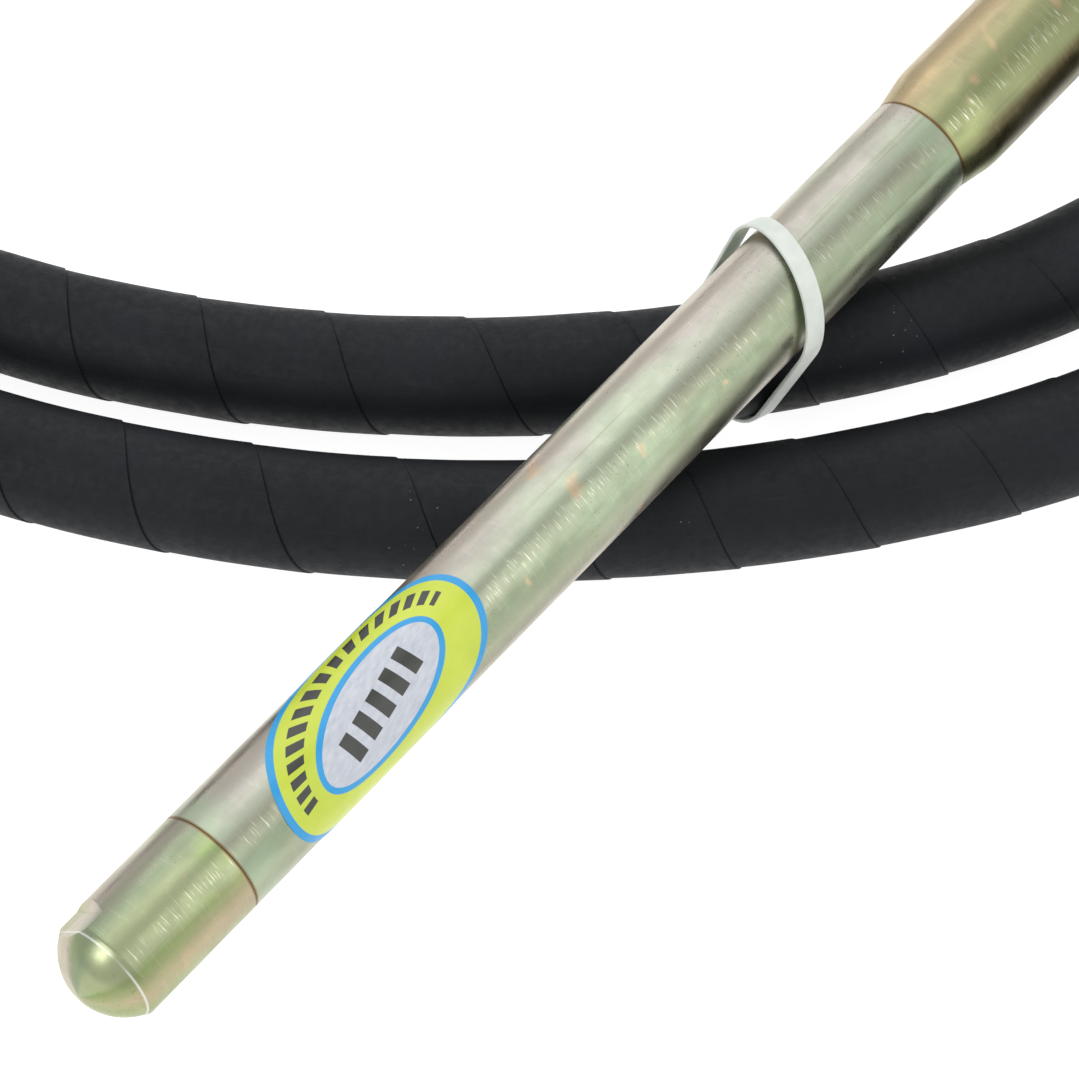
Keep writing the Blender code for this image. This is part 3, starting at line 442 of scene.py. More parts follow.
TUBE_FILM_AND_REFLECTION_BANDS = [
    (0, SAGE_FILM_AND_REFLECTION),
    (0.13, PINK_FILM_AND_REFLECTION),
    (0.21, GREY_FILM_AND_REFLECTION),
    (0.285, PALE_FILM_AND_REFLECTION),
    (0.31, DIM_FILM_AND_REFLECTION),
    (0.345, SAGE_FILM_AND_REFLECTION),
    (0.385, MOSS_FILM_AND_REFLECTION),
    (0.445, SAGE_FILM_AND_REFLECTION),
    (0.49, DIM_FILM_AND_REFLECTION),
    (0.53, PINK_FILM_AND_REFLECTION),
    (0.75, SAGE_FILM_AND_REFLECTION),
]
NOSE_FILM_AND_REFLECTION_BANDS = [
    (0, STRAW_FILM_AND_REFLECTION),
    (0.13, PINK_FILM_AND_REFLECTION),
    (0.175, DIM_FILM_AND_REFLECTION),
    (0.22, MOSS_FILM_AND_REFLECTION),
    (0.27, LEAF_FILM_AND_REFLECTION),
    (0.36, LEAF_FILM_AND_REFLECTION),
    (0.385, OLIVE_FILM_AND_REFLECTION),
    (0.45, BUFF_FILM_AND_REFLECTION),
    (0.75, STRAW_FILM_AND_REFLECTION),
]
SLEEVE_FILM_AND_REFLECTION_BANDS = [
    (0, SAND_FILM_AND_REFLECTION),
    (0.175, SAND_FILM_AND_REFLECTION),
    (0.21, DUN_FILM_AND_REFLECTION),
    (0.29, KHAKI_FILM_AND_REFLECTION),
    (0.31, OLIVE_FILM_AND_REFLECTION),
    (0.345, KHAKI_FILM_AND_REFLECTION),
    (0.385, OLIVE_FILM_AND_REFLECTION),
    (0.412, BROWN_FILM_AND_REFLECTION),
    (0.49, BROWN_FILM_AND_REFLECTION),
    (0.75, STRAW_FILM_AND_REFLECTION),
    (1, SAND_FILM_AND_REFLECTION),
]


def steel_look(name, color=rgb(196, 198, 202), roughness=0.2):
    """Ground and hardened steel, with fine grinding marks round it."""
    look = Look(name)
    place = look.place()
    grinding = look.noise(look.stretch(place, (90, 900, 900)), 1, 3, 0.6)
    smudge = look.noise(place, 120, 3)
    shade = look.mix(look.between(smudge, 0.3, 0.75, 0, 0.35), color, rgb(150, 150, 148))
    look.set("Base Color", shade)
    look.set("Metallic", 1.0)
    look.set("Roughness", look.between(grinding, 0.3, 0.7, roughness - 0.06, roughness + 0.14))
    look.bump(grinding, 0.01 * MM, 0.3)
    return look.material


def wire_look():
    """The flexible core: layers of hard steel wire, wound as a many-start helix and lightly greased."""
    look = Look("core_wire_look")
    x, y, z = look.parts(look.place())
    turn = look.math("ARCTAN2", z, y)
    strand = look.plus(look.times(x, 2600), look.times(turn, 4))
    ridge = look.math("ABSOLUTE", look.math("SINE", strand))
    shades = [(0, rgb(44, 40, 34)), (0.4, rgb(112, 110, 106)), (1, rgb(168, 168, 168))]
    look.set("Base Color", look.ramp(ridge, shades))
    look.set("Metallic", 1.0)
    look.set("Roughness", look.between(ridge, 0, 1, 0.5, 0.3))
    look.bump(ridge, 0.25 * MM, 0.8)
    return look.material


def bronze_look():
    look = Look("bush_bronze_look")
    place = look.place()
    pores = look.noise(place, 900, 3, 0.7)
    cloud = look.noise(place, 90, 3)
    color = look.ramp(cloud, [(0.3, rgb(176, 132, 78)), (0.7, rgb(206, 164, 104))])
    look.set("Base Color", look.mix(look.between(pores, 0.6, 0.7, 0, 0.5), color, rgb(104, 74, 44)))
    look.set("Metallic", 1.0)
    look.set("Roughness", look.between(cloud, 0.3, 0.7, 0.3, 0.42))
    look.bump(pores, 0.03 * MM, 0.5)
    return look.material


def seal_look():
    look = Look("seal_rubber_look")
    grain = look.noise(look.place(), 800, 3, 0.6)
    look.set("Base Color", look.ramp(grain, [(0.3, rgb(22, 22, 24)), (0.7, rgb(38, 38, 40))]))
    look.set("Roughness", look.between(grain, 0.3, 0.7, 0.45, 0.6))
    look.bump(grain, 0.02 * MM, 0.5)
    return look.material


def hose_look():
    """Black rubber cured under a wound cloth band, whose fine weave it keeps, with a little dust on it."""
    look = Look("hose_rubber_look")
    along, around, _ = look.parts(look.flat_place("wrap"))
    place = look.place()
    broad = look.noise(place, 30, 3, 0.6)
    fine = look.noise(place, 420, 4, 0.65)
    streak = look.noise(look.stretch(look.flat_place("wrap"), (60, 900, 1)), 1, 3, 0.6)
    color = look.ramp(broad, [(0.3, rgb(13, 15, 18)), (0.7, rgb(22, 25, 30))])
    color = look.mix(look.between(streak, 0.52, 0.75, 0, 0.3), color, rgb(34, 37, 42))
    dust = look.times(look.between(fine, 0.6, 0.78), look.between(broad, 0.45, 0.65))
    color = look.mix(look.times(dust, 0.3), color, rgb(66, 68, 72))
    specks = look.between(look.cells(place, 330), 0.05, 0.10, 1, 0)
    specks = look.times(specks, look.between(look.noise(place, 17, 2), 0.56, 0.62))
    color = look.mix(look.times(specks, 0.5), color, rgb(128, 128, 126))
    look.set("Base Color", color)
    look.set("Roughness", look.between(fine, 0.3, 0.7, 0.52, 0.68))
    look.set("Specular IOR Level", 0.24)
    warp = look.math("SINE", look.times(along, 2 * math.pi / (0.55 * MM)))
    weft = look.math("SINE", look.times(around, 2 * math.pi / (0.55 * MM)))
    weave = look.times(warp, weft)
    height = look.plus(look.times(weave, 0.25), look.times(fine, 1.0))
    look.bump(height, 0.05 * MM, 0.55)
    return look.material


def nylon_look():
    """Natural nylon: milky, and a little translucent."""
    look = Look("natural_nylon_look")
    cloud = look.noise(look.place(), 160, 3, 0.5)
    look.set("Base Color", look.ramp(cloud, [(0.3, rgb(202, 208, 200)), (0.7, rgb(218, 222, 214))]))
    look.set("Roughness", look.between(cloud, 0.3, 0.7, 0.34, 0.46))
    look.set("Subsurface Weight", 0.35)
    look.set("Subsurface Radius", (1.0, 1.0, 0.9))
    look.set("Subsurface Scale", 0.0012)
    look.bump(cloud, 0.05 * MM, 0.3)
    return look.material


def oval_depth(look, along, across, long_side, wide_side):
    """About how far inside an oval a point is, in metres."""
    u = look.math("DIVIDE", along, long_side)
    v = look.math("DIVIDE", across, wide_side)
    size = look.math("SQRT", look.plus(look.times(u, u), look.times(v, v)))
    size = look.math("MAXIMUM", size, 0.05)
    slope_u = look.math("DIVIDE", u, long_side)
    slope_v = look.math("DIVIDE", v, wide_side)
    slope = look.plus(look.times(slope_u, slope_u), look.times(slope_v, slope_v))
    slope = look.math("DIVIDE", look.math("SQRT", slope), size)
    return look.math("DIVIDE", look.math("SUBTRACT", 1, size), slope)


LABEL_BLUE = rgb(10, 146, 206)


def label_look():
    """Printed film: a yellow-green band between blue ovals, and a silver middle. Bars stand for its text."""
    look = Look("label_film_look")
    place = look.flat_place("print")
    along, across, _ = look.parts(place)
    outer = oval_depth(look, along, across, LABEL_LENGTH / 2, LABEL_WIDTH / 2)
    inner = oval_depth(look, along, across, LABEL_MIDDLE_LENGTH / 2, LABEL_MIDDLE_WIDTH / 2)
    soft = 0.05 * MM
    silver = look.between(inner, 1.6 * MM - soft, 1.6 * MM + soft)
    inside = look.between(inner, -soft, soft)
    band = look.between(outer, 1.9 * MM - soft, 1.9 * MM + soft)
    cloud = look.noise(place, 60, 3)
    yellow = look.ramp(cloud, [(0.35, rgb(184, 200, 46)), (0.65, rgb(196, 208, 60))])
    color = look.mix(band, LABEL_BLUE, yellow)
    color = look.mix(inside, color, LABEL_BLUE)
    brushed = look.noise(look.stretch(place, (300, 900, 1)), 1, 2)
    sheen = look.ramp(brushed, [(0.3, rgb(176, 180, 190)), (0.7, rgb(196, 199, 206))])
    color = look.mix(silver, color, sheen)
    # A row of upright bars in the middle.
    step = look.plus(look.math("DIVIDE", along, 6.1 * MM), 20.5)
    upright = look.between(look.math("PINGPONG", step, 0.5), 0.20, 0.215, 1, 0)
    upright = look.math("SUBTRACT", 1, upright)
    row = look.between(look.math("ABSOLUTE", across), 3.4 * MM, 3.5 * MM, 1, 0)
    ends = look.between(look.math("ABSOLUTE", along), 15.2 * MM, 15.3 * MM, 1, 0)
    bars = look.times(look.times(upright, row), ends)
    # A ring of bars round half of the band.
    turn = look.math("ARCTAN2", look.math("DIVIDE", across, 15.7 * MM), look.math("DIVIDE", along, 29.2 * MM))
    tick = look.math("PINGPONG", look.plus(look.times(turn, 5.4), 20), 0.5)
    tick = look.between(tick, 0.19, 0.215)
    middle = oval_depth(look, along, across, 29.2 * MM, 15.7 * MM)
    ring = look.between(look.math("ABSOLUTE", middle), 2.0 * MM, 2.1 * MM, 1, 0)
    part = look.between(look.math("ABSOLUTE", look.math("SUBTRACT", turn, -1.6)), 1.52, 1.54, 1, 0)
    ticks = look.times(look.times(tick, ring), part)
    ink = look.math("MAXIMUM", bars, ticks)
    color = look.mix(ink, color, rgb(42, 44, 36))
    look.set("Base Color", color)
    look.set("Roughness", look.between(look.noise(place, 400, 3), 0.3, 0.7, 0.3, 0.42))
    look.set("Coat Weight", 0.3)
    look.set("Coat Roughness", 0.2)
    look.bump(look.noise(place, 260, 3), 0.03 * MM, 0.4)
    return look.material


# Meshes.


def add_piece(name, mesh, look, body, place=Matrix.Identity(4)):
    obj = bpy.data.objects.new(name, mesh)
    bpy.context.scene.collection.objects.link(obj)
    obj.matrix_world = place
    mesh.materials.append(look)
    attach(obj, body)
    return obj


def smooth_edges(mesh, degrees=32):
    mesh.shade_smooth()
    mesh.set_sharp_from_angle(angle=math.radians(degrees))


def rounded(corners, closed):
    """Profile points, with each corner (radius, height, rounding) that has a rounding turned into an arc."""
    points = []
    count = len(corners)
    for k, corner in enumerate(corners):
        here = Vector(corner[:2])
        rounding = corner[2] if len(corner) > 2 else 0
        if rounding == 0 or (not closed and k in (0, count - 1)):
            points.append(here)
            continue
        back = Vector(corners[k - 1][:2]) - here
        on = Vector(corners[(k + 1) % count][:2]) - here
        cut = min(rounding, 0.49 * back.length, 0.49 * on.length)
        start, end = here + back.normalized() * cut, here + on.normalized() * cut
        for t in (0, 0.25, 0.5, 0.75, 1):
            points.append((1 - t) ** 2 * start + 2 * t * (1 - t) * here + t * t * end)
    return points


def turned_mesh(name, corners, sides):
    """A turned shape. The profile is a loop, unless it starts and ends on the axis."""
    closed = corners[0][0] > 0
    points = rounded(corners, closed)
    shape = bmesh.new()
    rings = []
    for r, h in points:
        if r < 1e-7:
            rings.append([shape.verts.new((0, 0, h))])
        else:
            turns = (math.tau * k / sides for k in range(sides))
            rings.append([shape.verts.new((r * math.cos(a), r * math.sin(a), h)) for a in turns])
    pairs = list(zip(rings, rings[1:]))
    if closed:
        pairs.append((rings[-1], rings[0]))
    for low, high in pairs:
        for k in range(sides):
            after = k + 1
            face = [low[k % len(low)], low[after % len(low)], high[after % len(high)], high[k % len(high)]]
            unique = list(dict.fromkeys(face))
            if len(unique) > 2:
                shape.faces.new(unique)
    bmesh.ops.recalc_face_normals(shape, faces=shape.faces)
    mesh = bpy.data.meshes.new(name)
    shape.to_mesh(mesh)
    shape.free()
    return mesh


def add_turned(name, corners, look, slot, body, place, sides, *nodes):
    mesh = turned_mesh(name, corners, sides)
    smooth_edges(mesh)
    obj = add_piece(name, mesh, look, body, place)
    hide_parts(*nodes)
    return obj


def cut_mesh(mesh, cutters, operation):
    """The mesh with each cutter taken out of it or joined to it."""
    obj = bpy.data.objects.new("cut", mesh)
    bpy.context.scene.collection.objects.link(obj)
    for cutter in cutters:
        tool = bpy.data.objects.new("tool", cutter)
        bpy.context.scene.collection.objects.link(tool)
        modifier = obj.modifiers.new("cut", "BOOLEAN")
        modifier.operation = operation
        modifier.solver = "EXACT"
        modifier.object = tool
    graph = bpy.context.evaluated_depsgraph_get()
    made = bpy.data.meshes.new_from_object(obj.evaluated_get(graph))
    made.name = mesh.name
    for modifier in obj.modifiers:
        bpy.data.objects.remove(modifier.object)
    bpy.data.objects.remove(obj)
    return made


def block(size, centre, rounding=0.0, segments=3):
    """A block with rounded edges."""
    mesh = bpy.data.meshes.new("block")
    shape = bmesh.new()
    bmesh.ops.create_cube(shape, matrix=Matrix.Translation(centre) @ Matrix.Diagonal((*size, 1)))
    if rounding:
        bmesh.ops.bevel(
            shape, geom=shape.edges[:], offset=rounding, segments=segments, profile=0.5, affect="EDGES"
        )
    shape.to_mesh(mesh)
    shape.free()
    return mesh


def combined(name, meshes):
    shape = bmesh.new()
    for mesh in meshes:
        shape.from_mesh(mesh)
    made = bpy.data.meshes.new(name)
    shape.to_mesh(made)
    shape.free()
    return made


# Head.

HEAD_AXIS = Matrix.Rotation(math.pi / 2, 4, "Y")


def along_head(x):
    return Matrix.Translation((x, 0, 0)) @ HEAD_AXIS


DOME_STEPS = 24
CREASE_INSET = 0.75 * MM
FLAT_DEPTH_R = 12 * MM
FLAT_LENGTH = 13 * MM
FLAT_TURN = math.radians(38) + math.pi / 2
FLAT_RUN_OUT = 0.9


def add_nose():
    """The screwed-in nose: a shallow dome with a crease that has a painted highlight, and a spanner flat
    beside it.
    """
    length = TUBE_X - SEAM_LINE - TIP_X
    edge = HEAD_R - CREASE_INSET
    sphere = (edge**2 + DOME_HEIGHT**2) / (2 * DOME_HEIGHT)
    widest = math.asin(edge / sphere)
    angles = [widest * k / DOME_STEPS for k in range(1, DOME_STEPS - 1)]
    dome = [(sphere * math.sin(angle), sphere - sphere * math.cos(angle)) for angle in angles]
    spigot_end = length + 14.5 * MM
    corners = [
        (0, length), (6 * MM, length), (6 * MM, spigot_end), (SPIGOT_R, spigot_end, 0.6 * MM),
        (SPIGOT_R, length), (HEAD_R, length, 0.15 * MM), (HEAD_R, DOME_HEIGHT + 0.9 * MM, 1.1 * MM),
        (edge, DOME_HEIGHT - 0.1 * MM, 0.3 * MM), *dome[::-1], (0, 0),
    ]
    mesh = turned_mesh("nose_cap_shell", corners, HEAD_SIDES)
    flat = block((HEAD_R, 2 * HEAD_R, FLAT_LENGTH), (FLAT_DEPTH_R + HEAD_R / 2, 0, DOME_HEIGHT))
    for vertex in flat.vertices:
        if vertex.co.z > DOME_HEIGHT and vertex.co.x > HEAD_R:
            vertex.co.z += FLAT_RUN_OUT * HEAD_R
    flat.transform(Matrix.Rotation(FLAT_TURN, 4, "Z"))
    mesh = cut_mesh(mesh, [flat], "DIFFERENCE")
    smooth_edges(mesh, 28)
    look = zinc_look(
        "nose_zinc_look", NOSE_FILM_AND_REFLECTION_BANDS, rgb(138, 172, 92), 0.5, rgb(206, 172, 128), (length,),
        crease=DOME_HEIGHT,
    )
    nose = add_piece("nose_cap_shell", mesh, look, "head_and_hose", along_head(TIP_X))
    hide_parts("nose_cap")


def add_tube():
    front_seat, front_shoulder = 15 * MM, 24 * MM
    length = TUBE_END_X - TUBE_X
    spigot_face = length - 18 * MM
    rear_shoulder = length - 34 * MM
    corners = [
        (HEAD_R, length, 0.15 * MM), (HEAD_R, 0, 0.15 * MM), (SPIGOT_SEAT_R, 0), (SPIGOT_SEAT_R, front_seat),
        (BEARING_SEAT_R, front_seat), (BEARING_SEAT_R, front_shoulder), (BORE_R, front_shoulder),
        (BORE_R, rear_shoulder), (BEARING_SEAT_R, rear_shoulder), (BEARING_SEAT_R, spigot_face),
        (SPIGOT_SEAT_R, spigot_face), (SPIGOT_SEAT_R, length),
    ]
    look = zinc_look(
        "tube_zinc_look", TUBE_FILM_AND_REFLECTION_BANDS, rgb(172, 190, 160), 0.45, rgb(214, 176, 140), (0, length)
    )
    add_turned(
        "vibrator_tube_shell", corners, look, "zinc_plate", "head_and_hose", along_head(TUBE_X), HEAD_SIDES,
        "vibrator_tube",
    )


def add_coupling():
    seam = TUBE_END_X + SEAM_LINE - COUPLING_X
    length = HEAD_END_X - COUPLING_X
    socket = length - HOSE_SOCKET - FACE_GAP
    corners = [
        (SLEEVE_R, length, 0.8 * MM), (SLEEVE_R, seam + COUPLING_TAPER, 2.5 * MM),
        (HEAD_R, seam + 0.6 * MM, 0.8 * MM), (HEAD_R, seam, 0.15 * MM), (SPIGOT_R, seam),
        (SPIGOT_R, 0, 0.6 * MM), (8.2 * MM, 0), (8.2 * MM, 60 * MM), (6 * MM, 60 * MM), (6 * MM, socket),
        (HOSE_R + 0.2 * MM, socket), (HOSE_R + 0.2 * MM, length, 0.3 * MM),
    ]
    look = zinc_look(
        "coupling_zinc_look", SLEEVE_FILM_AND_REFLECTION_BANDS, rgb(176, 184, 128), 0.4, rgb(212, 176, 140), (seam,)
    )
    add_turned(
        "hose_coupling_shell", corners, look, "zinc_plate", "head_and_hose", along_head(COUPLING_X),
        HEAD_SIDES, "hose_coupling",
    )


def add_label():
    """The film, as rings of an oval laid round the tube. Its own flat map holds the places of the print."""
    rings, columns = 26, 120
    shape = bmesh.new()
    flat = shape.loops.layers.uv.new("print")

    def point(share, turn, lift):
        along = share * LABEL_LENGTH / 2 * math.cos(turn)
        across = share * LABEL_WIDTH / 2 * math.sin(turn)
        x = along * math.cos(LABEL_SKEW) - across * math.sin(LABEL_SKEW)
        around = along * math.sin(LABEL_SKEW) + across * math.cos(LABEL_SKEW)
        angle = LABEL_TURN + around / HEAD_R
        radius = HEAD_R + lift
        spot = (SEAM_X + LABEL_FROM_SEAM + x, radius * math.cos(angle), radius * math.sin(angle))
        return shape.verts.new(spot), (along, across)

    layers = []
    for lift in (LABEL_HIGH, LABEL_LOW):
        middle = [point(0, 0, lift)] * columns
        rows = [middle]
        for ring in range(1, rings + 1):
            rows.append([point(ring / rings, math.tau * k / columns, lift) for k in range(columns)])
        layers.append(rows)
    top, under = layers
    strips = list(zip(top, top[1:])) + [(top[-1], under[-1])] + list(zip(under[::-1], under[-2::-1]))
    for low, high in strips:
        for k in range(columns):
            after = (k + 1) % columns
            corners = list(dict.fromkeys([low[k], low[after], high[after], high[k]]))
            if len({vertex for vertex, _ in corners}) < 3:
                continue
            face = shape.faces.new([vertex for vertex, _ in corners])
            for loop, (_, spot) in zip(face.loops, corners):
                loop[flat].uv = spot
    bmesh.ops.recalc_face_normals(shape, faces=shape.faces)
    mesh = bpy.data.meshes.new("tube_label_film")
    shape.to_mesh(mesh)
    shape.free()
    smooth_edges(mesh)
    label = add_piece("tube_label_film", mesh, label_look(), "head_and_hose")
    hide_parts("tube_label")


# Hose.


def coil_point(turn):
    """The middle of the hose on the coil. Turn 0 is the front of the inner turn, under the head."""
    angle = math.tau * turn - math.pi / 2
    half_length = COIL_HALF_LENGTH + (HOSE_DIAMETER + COIL_SIDE_GAP) * turn
    half_width = COIL_HALF_WIDTH + (HOSE_DIAMETER + COIL_FRONT_GAP) * turn
    along = COIL_DRIFT_ALONG * turn + half_length * math.cos(angle)
    across = COIL_DRIFT_ACROSS * turn + half_width * math.sin(angle) + COIL_SQUARENESS * math.sin(3 * angle)
    place = Matrix.Rotation(COIL_DIRECTION, 3, "Z") @ Vector((along, across, 0))
    return place + Vector((HEAD_END_X - COIL_BACK, COIL_ASIDE, HOSE_Z))


def route_controls():
    """The points that shape the hose's middle line, from its end in the coupling to its machine end."""
    start = [Vector((HOSE_START_X, 0, 0))]
    lead = [Vector((HEAD_END_X + x * MM, y * MM, HOSE_Z * share)) for x, y, share in LEAD_IN]
    coil = [coil_point(COIL_FIRST_TURN + k / COIL_STEPS) for k in range(COIL_POINTS)]
    for k in range(RAISE_POINTS):
        share = (RAISE_POINTS - k) / RAISE_POINTS
        coil[-1 - k].z += (END_Z - HOSE_Z) * share * share * (3 - 2 * share)
    return start + lead + coil


def smooth_route(controls, steps):
    """A uniform cubic B-spline through the route, which ends on its first and last points."""
    points = [2 * controls[0] - controls[1], *controls, 2 * controls[-1] - controls[-2]]
    line = []
    for a, b, c, d in zip(points, points[1:], points[2:], points[3:]):
        for k in range(steps):
            t = k / steps
            ahead = (1 + 3 * t + 3 * t**2 - 3 * t**3) * c + t**3 * d
            line.append(((1 - t) ** 3 * a + (3 * t**3 - 6 * t**2 + 4) * b + ahead) / 6)
    return [*line, controls[-1].copy()]


def points_at(line, distances):
    """Points at these distances along a line of points."""
    points, walked, due = [], 0, list(distances)
    for a, b in zip(line, line[1:]):
        stretch = (b - a).length
        while due and due[0] <= walked + stretch:
            points.append(a.lerp(b, (due.pop(0) - walked) / stretch))
        walked += stretch
    return points


def crossing_under_head(line):
    """Where a line of points passes under the head at the tie, and which way it runs there."""
    centre = Vector((HEAD_END_X - TIE_BACK, TIE_SIDE))
    low = [(a, b) for a, b in zip(line, line[1:]) if max(a.z, b.z) < -HEAD_R]
    a, b = min(low, key=lambda ends: ((ends[0] + ends[1]).xy / 2 - centre).length)
    along = (centre - a.xy).dot((b - a).xy) / (b - a).xy.length_squared
    return a.lerp(b, min(max(along, 0), 1)), (b - a).normalized()


def hose_line(spacing):
    """Points about one spacing apart along the hose, with the tie midway between two of them."""
    line = smooth_route(route_controls(), 12)
    under_head = crossing_under_head(line)[0]
    near = min(range(len(line)), key=lambda k: (line[k] - under_head).length)
    tie_at = sum((b - a).length for a, b in zip(line[:near], line[1:]))
    length = tie_at + sum((b - a).length for a, b in zip(line[near:], line[near + 1:]))
    before = round(tie_at / spacing - 0.5)
    step = tie_at / (before + 0.5)
    start = tie_at + step / 2
    after = round((length - start) / spacing)
    distances = [0, 2 * HOSE_SOCKET, *(step * k for k in range(1, before + 1))]
    distances += [start + (length - start) / after * k for k in range(after)]
    points = [*points_at(line, distances), line[-1].copy()]
    for point in points:
        away = (point.xy - under_head.xy).length / (4 * HOSE_DIAMETER)
        # The hose rides over the strap of the tie, and settles on the floor a few diameters away.
        point.z += TIE_UNDER_HOSE * (1 - away * away) ** 2 if away < 1 else 0
    return points


def through_points(points, steps):
    """A smooth line that passes through all the points and leaves its ends straight."""
    ends = [2 * points[0] - points[1], *points, 2 * points[-1] - points[-2]]
    line = []
    for a, b, c, d in zip(ends, ends[1:], ends[2:], ends[3:]):
        for k in range(steps):
            t = k / steps
            square = (2 * a - 5 * b + 4 * c - d) * t**2
            cube = (3 * b - a - 3 * c + d) * t**3
            line.append(0.5 * (2 * b + (c - a) * t + square + cube))
    return [*line, points[-1].copy()]


class Track:
    """A line with a level, untwisted frame at every distance along it."""

    def __init__(self, line):
        self.line = line
        self.reach = [0]
        for a, b in zip(line, line[1:]):
            self.reach.append(self.reach[-1] + (b - a).length)
        self.length = self.reach[-1]
        self.spot = 0

    def at(self, distance):
        distance = min(max(distance, 0), self.length)
        while self.spot < len(self.line) - 2 and self.reach[self.spot + 1] < distance:
            self.spot += 1
        while self.spot > 0 and self.reach[self.spot] > distance:
            self.spot -= 1
        k = self.spot
        share = (distance - self.reach[k]) / (self.reach[k + 1] - self.reach[k])
        ahead = (self.line[k + 1] - self.line[k]).normalized()
        last, following = max(k - 1, 0), min(k + 2, len(self.line) - 1)
        before = (self.line[k + 1] - self.line[last]).normalized()
        after = (self.line[following] - self.line[k]).normalized()
        direction = before.lerp(after, share) if 0 < k < len(self.line) - 2 else ahead
        side = direction.cross(Vector((0, 0, 1))).normalized()
        return self.line[k].lerp(self.line[k + 1], share), side, side.cross(direction).normalized()


def wrap_place(count):
    """How far along the hose this many turns of the band reach. The turns are a little uneven."""
    uneven = 0.045 * math.sin(1.7 * count) + 0.06 * math.sin(0.63 * count + 1)
    return WRAP_PITCH * (count + uneven)


def add_hose(points):
    track = Track(through_points(points, 16))
    turns = int(track.length / WRAP_PITCH) + 4
    rows = len(WRAP_ROWS)
    shape = bmesh.new()
    flat = shape.loops.layers.uv.new("wrap")
    grid = []
    for turn in range(-2, turns):
        for part in WRAP_ROWS:
            row = []
            for side in range(HOSE_SIDES):
                share = side / HOSE_SIDES
                along = min(max(wrap_place(turn + part + share + WRAP_PHASE), 0), track.length)
                centre, level, up = track.at(along)
                angle = math.tau * share
                out = math.cos(angle) * up + math.sin(angle) * level
                lump = noise.noise((centre + out * HOSE_R) * 55) * HOSE_LUMPS
                step = WRAP_STEP * (part - 0.5) - (WRAP_GROOVE if part == 0 else 0)
                row.append((shape.verts.new(centre + out * (HOSE_R + step + lump)), along))
            grid.append(row)
    for k in range(len(grid) - rows - 1):
        for side in range(HOSE_SIDES):
            last = side == HOSE_SIDES - 1
            after = (0, rows) if last else (side + 1, 0)
            corners = [
                (grid[k][side], side), (grid[k][side], side), (grid[k + after[1]][after[0]], side + 1),
                (grid[k + 1 + after[1]][after[0]], side + 1), (grid[k + 1][side], side),
            ][1:]
            if len({round(spot[1], 7) for spot, _ in corners}) < 2:
                continue
            face = shape.faces.new([spot[0] for spot, _ in corners])
            for loop, (spot, column) in zip(face.loops, corners):
                loop[flat].uv = (spot[1], column / HOSE_SIDES * math.tau * HOSE_R)
    bmesh.ops.delete(shape, geom=[v for v in shape.verts if not v.link_faces], context="VERTS")
    bmesh.ops.remove_doubles(shape, verts=shape.verts, dist=1e-6)
    bmesh.ops.dissolve_degenerate(shape, edges=shape.edges, dist=1e-7)
    bmesh.ops.holes_fill(shape, edges=[e for e in shape.edges if e.is_boundary], sides=0)
    bmesh.ops.recalc_face_normals(shape, faces=shape.faces)
    mesh = bpy.data.meshes.new("drive_hose_rubber")
    shape.to_mesh(mesh)
    shape.free()
    smooth_edges(mesh, 50)
    hose = add_piece("drive_hose_rubber", mesh, hose_look(), "head_and_hose")
    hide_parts("drive_hose")
    return hose, track


# Cable tie.


def hull(points):
    """The convex outline round flat points, counter-clockwise."""
    def half(ordered):
        chain = []
        for p in ordered:
            while len(chain) > 1 and (chain[-1] - chain[-2]).cross(p - chain[-2]) <= 0:
                chain.pop()
            chain.append(p)
        return chain[:-1]

    ordered = sorted(points, key=lambda p: (p.x, p.y))
    return half(ordered) + half(ordered[::-1])


def tie_frame():
    """X is level, Y is height and goes aside as it climbs, and Z is level along the strap's width."""
    level = Vector((math.cos(TIE_DIRECTION), math.sin(TIE_DIRECTION), 0))
    climb = Vector((TIE_LEAN_X, TIE_LEAN_Y, 1))
    axes = Matrix((level, climb, Vector((level.y, -level.x, 0)))).transposed().to_4x4()
    return Matrix.Translation((HEAD_END_X - TIE_BACK, TIE_SIDE, -HEAD_ON_HOSE / 2)) @ axes


def tie_section(place, offset, through, direction, radius):
    """Where a round bar of this radius crosses the tie, this far along the strap's width."""
    side = direction.cross(Vector((0, 0, 1))).normalized()
    up = side.cross(direction)
    inverse = place.inverted()
    pace = inverse.to_3x3() @ direction
    points = []
    for k in range(TIE_STATIONS):
        angle = math.tau * k / TIE_STATIONS
        edge = inverse @ (through + radius * (math.cos(angle) * side + math.sin(angle) * up))
        points.append((edge + (offset - edge.z) / pace.z * pace).xy)
    return points


def tie_outline(place, head_slack, hose_slack, hose_points):
    """The convex outline round head and hose that clears them along the strap's whole width."""
    middle, direction = crossing_under_head(hose_points)
    points = []
    for offset in (-TIE_WIDTH / 2, TIE_WIDTH / 2):
        points += tie_section(place, offset, Vector((0, 0, 0)), Vector((1, 0, 0)), HEAD_R + head_slack)
        points += tie_section(place, offset, middle, direction, HOSE_R + hose_slack)
    return hull(points)


def evenly(outline, count):
    """Points at equal steps along a closed outline, starting at its lowest."""
    lowest = min(range(len(outline)), key=lambda k: outline[k].y)
    loop = [*outline[lowest:], *outline[:lowest], outline[lowest]]
    length = sum((b - a).length for a, b in zip(loop, loop[1:]))
    return points_at(loop, [length * k / count for k in range(count)])


